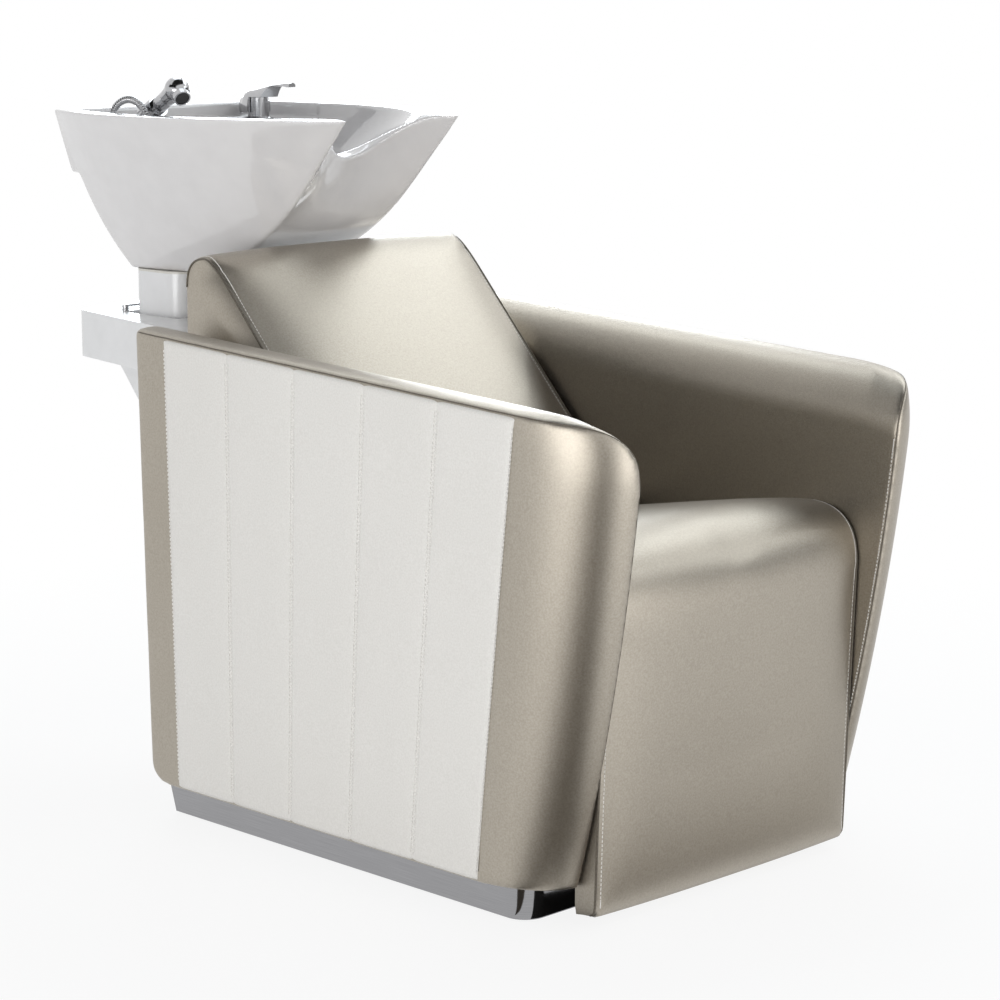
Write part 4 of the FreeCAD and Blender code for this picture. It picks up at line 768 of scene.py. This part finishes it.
hose_path = resample(spline_points(HOSE_ROUTE), HOSE["step"])
hose_bm = bmesh.new()
ahead = unit(np.gradient(hose_path, axis=0))
lead = np.array([1.0, 0, 0])
rings = []
for k, (p, a) in enumerate(zip(hose_path, ahead)):
    wave = math.cos(2 * math.pi * k * HOSE["step"] / HOSE["pitch"])
    radius = HOSE["radius"] - HOSE["groove"] * (0.5 + 0.5 * wave) ** 3
    up = np.cross(a, lead)
    rings.append([p + radius * (math.cos(t) * lead + math.sin(t) * up)
                  for t in np.linspace(0, 2 * math.pi, 24, endpoint=False)])
made = lay_grid(hose_bm, rings, wrap=True)
hose_bm.faces.new(made[0])
hose_bm.faces.new(list(reversed(made[-1])))
hose = piece("shower_hose", hose_bm, CHROME, "tilting_basin", ["spray_hose"], sharp=None)


# Basin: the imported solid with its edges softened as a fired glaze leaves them
basin_bm = bmesh.new()
basin_bm.from_mesh(nodes["basin"].data)
piece("basin_glaze", softened(basin_bm, **GLAZE_RELAX), CERAMIC, "tilting_basin", ["basin"],
      sharp=None)


# Stage, light and camera
def stage_face(name, mat, corners):
    """A flat piece of the studio."""
    bm = bmesh.new()
    bm.faces.new([bm.verts.new(p) for p in corners])
    mesh = bpy.data.meshes.new(name)
    bm.to_mesh(mesh)
    bm.free()
    mesh.materials.append(mat)
    obj = bpy.data.objects.new(name, mesh)
    bpy.context.scene.collection.objects.link(obj)
    return obj


def seen_directly(tree):
    """1 for rays from the camera, and for those mirrored or bent on their way."""
    path = add(tree, "ShaderNodeLightPath")
    seen = path.outputs["Is Camera Ray"]
    for kind in ("Is Glossy Ray", "Is Transmission Ray"):
        both = add(tree, "ShaderNodeMath", [(seen, 0), (path.outputs[kind], 1)], operation="MAXIMUM")
        seen = both.outputs[0]
    return seen


floor_mat, tree, floor_bsdf = shader("floor")
floor_bsdf.inputs["Base Color"].default_value = (0.80, 0.80, 0.80, 1)
floor_bsdf.inputs["Roughness"].default_value = 0.9
place = add(tree, "ShaderNodeTexCoord")
reach = add(tree, "ShaderNodeVectorMath", [(place.outputs["Object"], 0)], operation="LENGTH")
fade = add(tree, "ShaderNodeMapRange", [(reach.outputs["Value"], "Value")])
for socket, value in (("From Min", 0.8), ("From Max", 1.8), ("To Min", 0.87), ("To Max", 1.0)):
    fade.inputs[socket].default_value = value
share = add(tree, "ShaderNodeMath", [(seen_directly(tree), 0), (fade.outputs["Result"], 1)],
            operation="MULTIPLY")
glow = add(tree, "ShaderNodeEmission", Strength=1.0)
glow.inputs["Color"].default_value = (1, 1, 1, 1)
laid = add(tree, "ShaderNodeMixShader",
           [(share.outputs[0], "Fac"), (floor_bsdf.outputs[0], 1), (glow.outputs[0], 2)])
tree.links.new(laid.outputs[0], tree.nodes["Material Output"].inputs["Surface"])
FLOOR_HALF, FLOOR_DROP = 30, 0.0005
floor = stage_face("floor", floor_mat, [(a * FLOOR_HALF, b * FLOOR_HALF, 0)
                                        for a, b in ((-1, -1), (1, -1), (1, 1), (-1, 1))])
floor.location.z = -FLOOR_DROP

world = bpy.data.worlds.new("studio")
bpy.context.scene.world = world
world.use_nodes = True
tree = world.node_tree
ambient = tree.nodes["Background"]
ambient.inputs["Color"].default_value = (0.97, 0.98, 1.0, 1)
ambient.inputs["Strength"].default_value = 0.5
white = add(tree, "ShaderNodeBackground", Strength=1.0)
white.inputs["Color"].default_value = (1, 1, 1, 1)
mixed = add(tree, "ShaderNodeMixShader",
            [(seen_directly(tree), "Fac"), (ambient.outputs[0], 1), (white.outputs[0], 2)])
tree.links.new(mixed.outputs[0], tree.nodes["World Output"].inputs["Surface"])


def soft_light(name, place, aim, size, power, tall=None, tint=(1, 1, 1)):
    data = bpy.data.lights.new(name, "AREA")
    data.shape = "RECTANGLE"
    data.size = size
    data.size_y = tall or size
    data.energy = power
    data.color = tint
    obj = bpy.data.objects.new(name, data)
    obj.location = place
    obj.rotation_euler = (Vector(aim) - Vector(place)).to_track_quat("-Z", "Y").to_euler()
    bpy.context.scene.collection.objects.link(obj)


def sheet_tone(name, tone, warmth):
    """Cloth of a studio card, or tone of a sheet of painted shade, from neutral to warm."""
    mat, _, bsdf = shader(name)
    bsdf.inputs["Base Color"].default_value = (tone, tone * (1 - warmth), tone * (1 - 2.2 * warmth), 1)
    bsdf.inputs["Roughness"].default_value = 1.0
    return mat


# Black and dark cloth serve the studio cards and also the floor sheets of painted shade near the chair; grey
# serves painted shade only.
BLACK_CARD_AND_SHADE = sheet_tone("black_card_and_painted_shade", 0.01, 0.1)
DARK_CARD_AND_SHADE = sheet_tone("dark_card_and_painted_shade", 0.12, 0.18)
GREY_PAINTED_SHADE = sheet_tone("grey_painted_shade", 0.62, 0.06)


def reflected_sheet(name, mat, corners):
    """A studio card, or a sheet of painted shade on the floor, that only shows in reflections."""
    obj = stage_face(name, mat, corners)
    obj.visible_camera = False
    obj.visible_diffuse = False
    obj.visible_shadow = False


reflected_sheet("flag_floor", DARK_CARD_AND_SHADE,
     ((-0.40, -0.46, 0.004), (-0.19, -0.66, 0.004), (-1.90, -4.15, 0.004), (-3.90, -1.93, 0.004)))
reflected_sheet("flag_front", DARK_CARD_AND_SHADE,
     ((-3.90, -1.93, 0.0), (-1.90, -4.15, 0.0), (-1.90, -4.15, 1.5), (-3.90, -1.93, 1.5)))
reflected_sheet("flag_side", BLACK_CARD_AND_SHADE, ((1.4, -3.2, 0.8), (4.0, -0.9, 0.8), (4.0, -0.9, 1.7), (1.4, -3.2, 1.7)))
reflected_sheet("flag_ceiling", BLACK_CARD_AND_SHADE, ((-3.0, -2.0, 3.3), (1.5, -2.0, 3.3), (1.5, 1.0, 3.3), (-3.0, 1.0, 3.3)))
reflected_sheet("flag_left", BLACK_CARD_AND_SHADE, ((-3.0, -2.0, 1.9), (-3.0, 2.5, 1.9), (-3.0, 2.5, 3.3), (-3.0, -2.0, 3.3)))
# Painted shade: a grey sheet on the floor before the seat, seen only in reflections, stands in for the
# chair's shadow on the floor there and darkens the low seat front.
reflected_sheet("painted_shade_foot", GREY_PAINTED_SHADE,
     ((-0.2, -0.80, 0.004), (1.4, -0.80, 0.004), (1.4, -0.57, 0.004), (-0.2, -0.57, 0.004)))
# Painted shade: a black sheet on the floor under the seat's front and the left arm, seen only in reflections,
# stands in for the shadow under that overhang and darkens the polished plinth front.
reflected_sheet("painted_shade_toe", BLACK_CARD_AND_SHADE,
     ((-0.268, -0.44, 0.003), (-0.275, -0.545, 0.003), (-0.238, -0.545, 0.003), (-0.215, -0.50, 0.003),
      (-0.10, -0.49, 0.003), (-0.10, -0.44, 0.003)))
# Painted shade: a dark sheet on the floor at the left arm's outer front corner, seen only in reflections,
# stands in for the shadow on the floor at the arm's foot.
reflected_sheet("painted_shade_corner", DARK_CARD_AND_SHADE, ((-0.288, -0.438, 0.003), (-0.345, -0.535, 0.003), (-0.40, -0.475, 0.003)))

COOL = (0.88, 0.95, 1.0)
soft_light("key", (-3.4, -1.2, 0.65), (0, 0, 0.5), 2.4, 46, tall=0.8)
soft_light("rim", (2.3, -0.1, 2.95), (0, 0.1, 0.65), 2.4, 26, tall=1.1, tint=COOL)
soft_light("side", (2.05, -2.05, 2.0), (-0.09, -0.55, 0.43), 1.7, 8, tall=0.7, tint=COOL)
soft_light("top", (0.7, 1.3, 2.95), (0.2, 0, 0.6), 1.4, 13, tint=COOL)
soft_light("back", (2.6, 2.8, 1.5), (0, 0, 0.6), 1.8, 58, tint=COOL)
soft_light("front", (0.3, -3.2, 0.5), (0, -0.4, 0.4), 1.2, 19)

# The camera's place, lens and turn come from the fit to the photograph
camera = bpy.data.cameras.new("camera")
camera.lens = 105.62
camera.sensor_width = 36
camera.clip_end = 100
cam = bpy.data.objects.new("camera", camera)
cam.location = (-2.7080, -2.8416, 1.1587)
cam.rotation_euler = (math.radians(90 - 10.5758), 0, math.radians(-44.9807))
bpy.context.scene.collection.objects.link(cam)
bpy.context.scene.camera = cam
bpy.context.scene.view_settings.view_transform = "Standard"
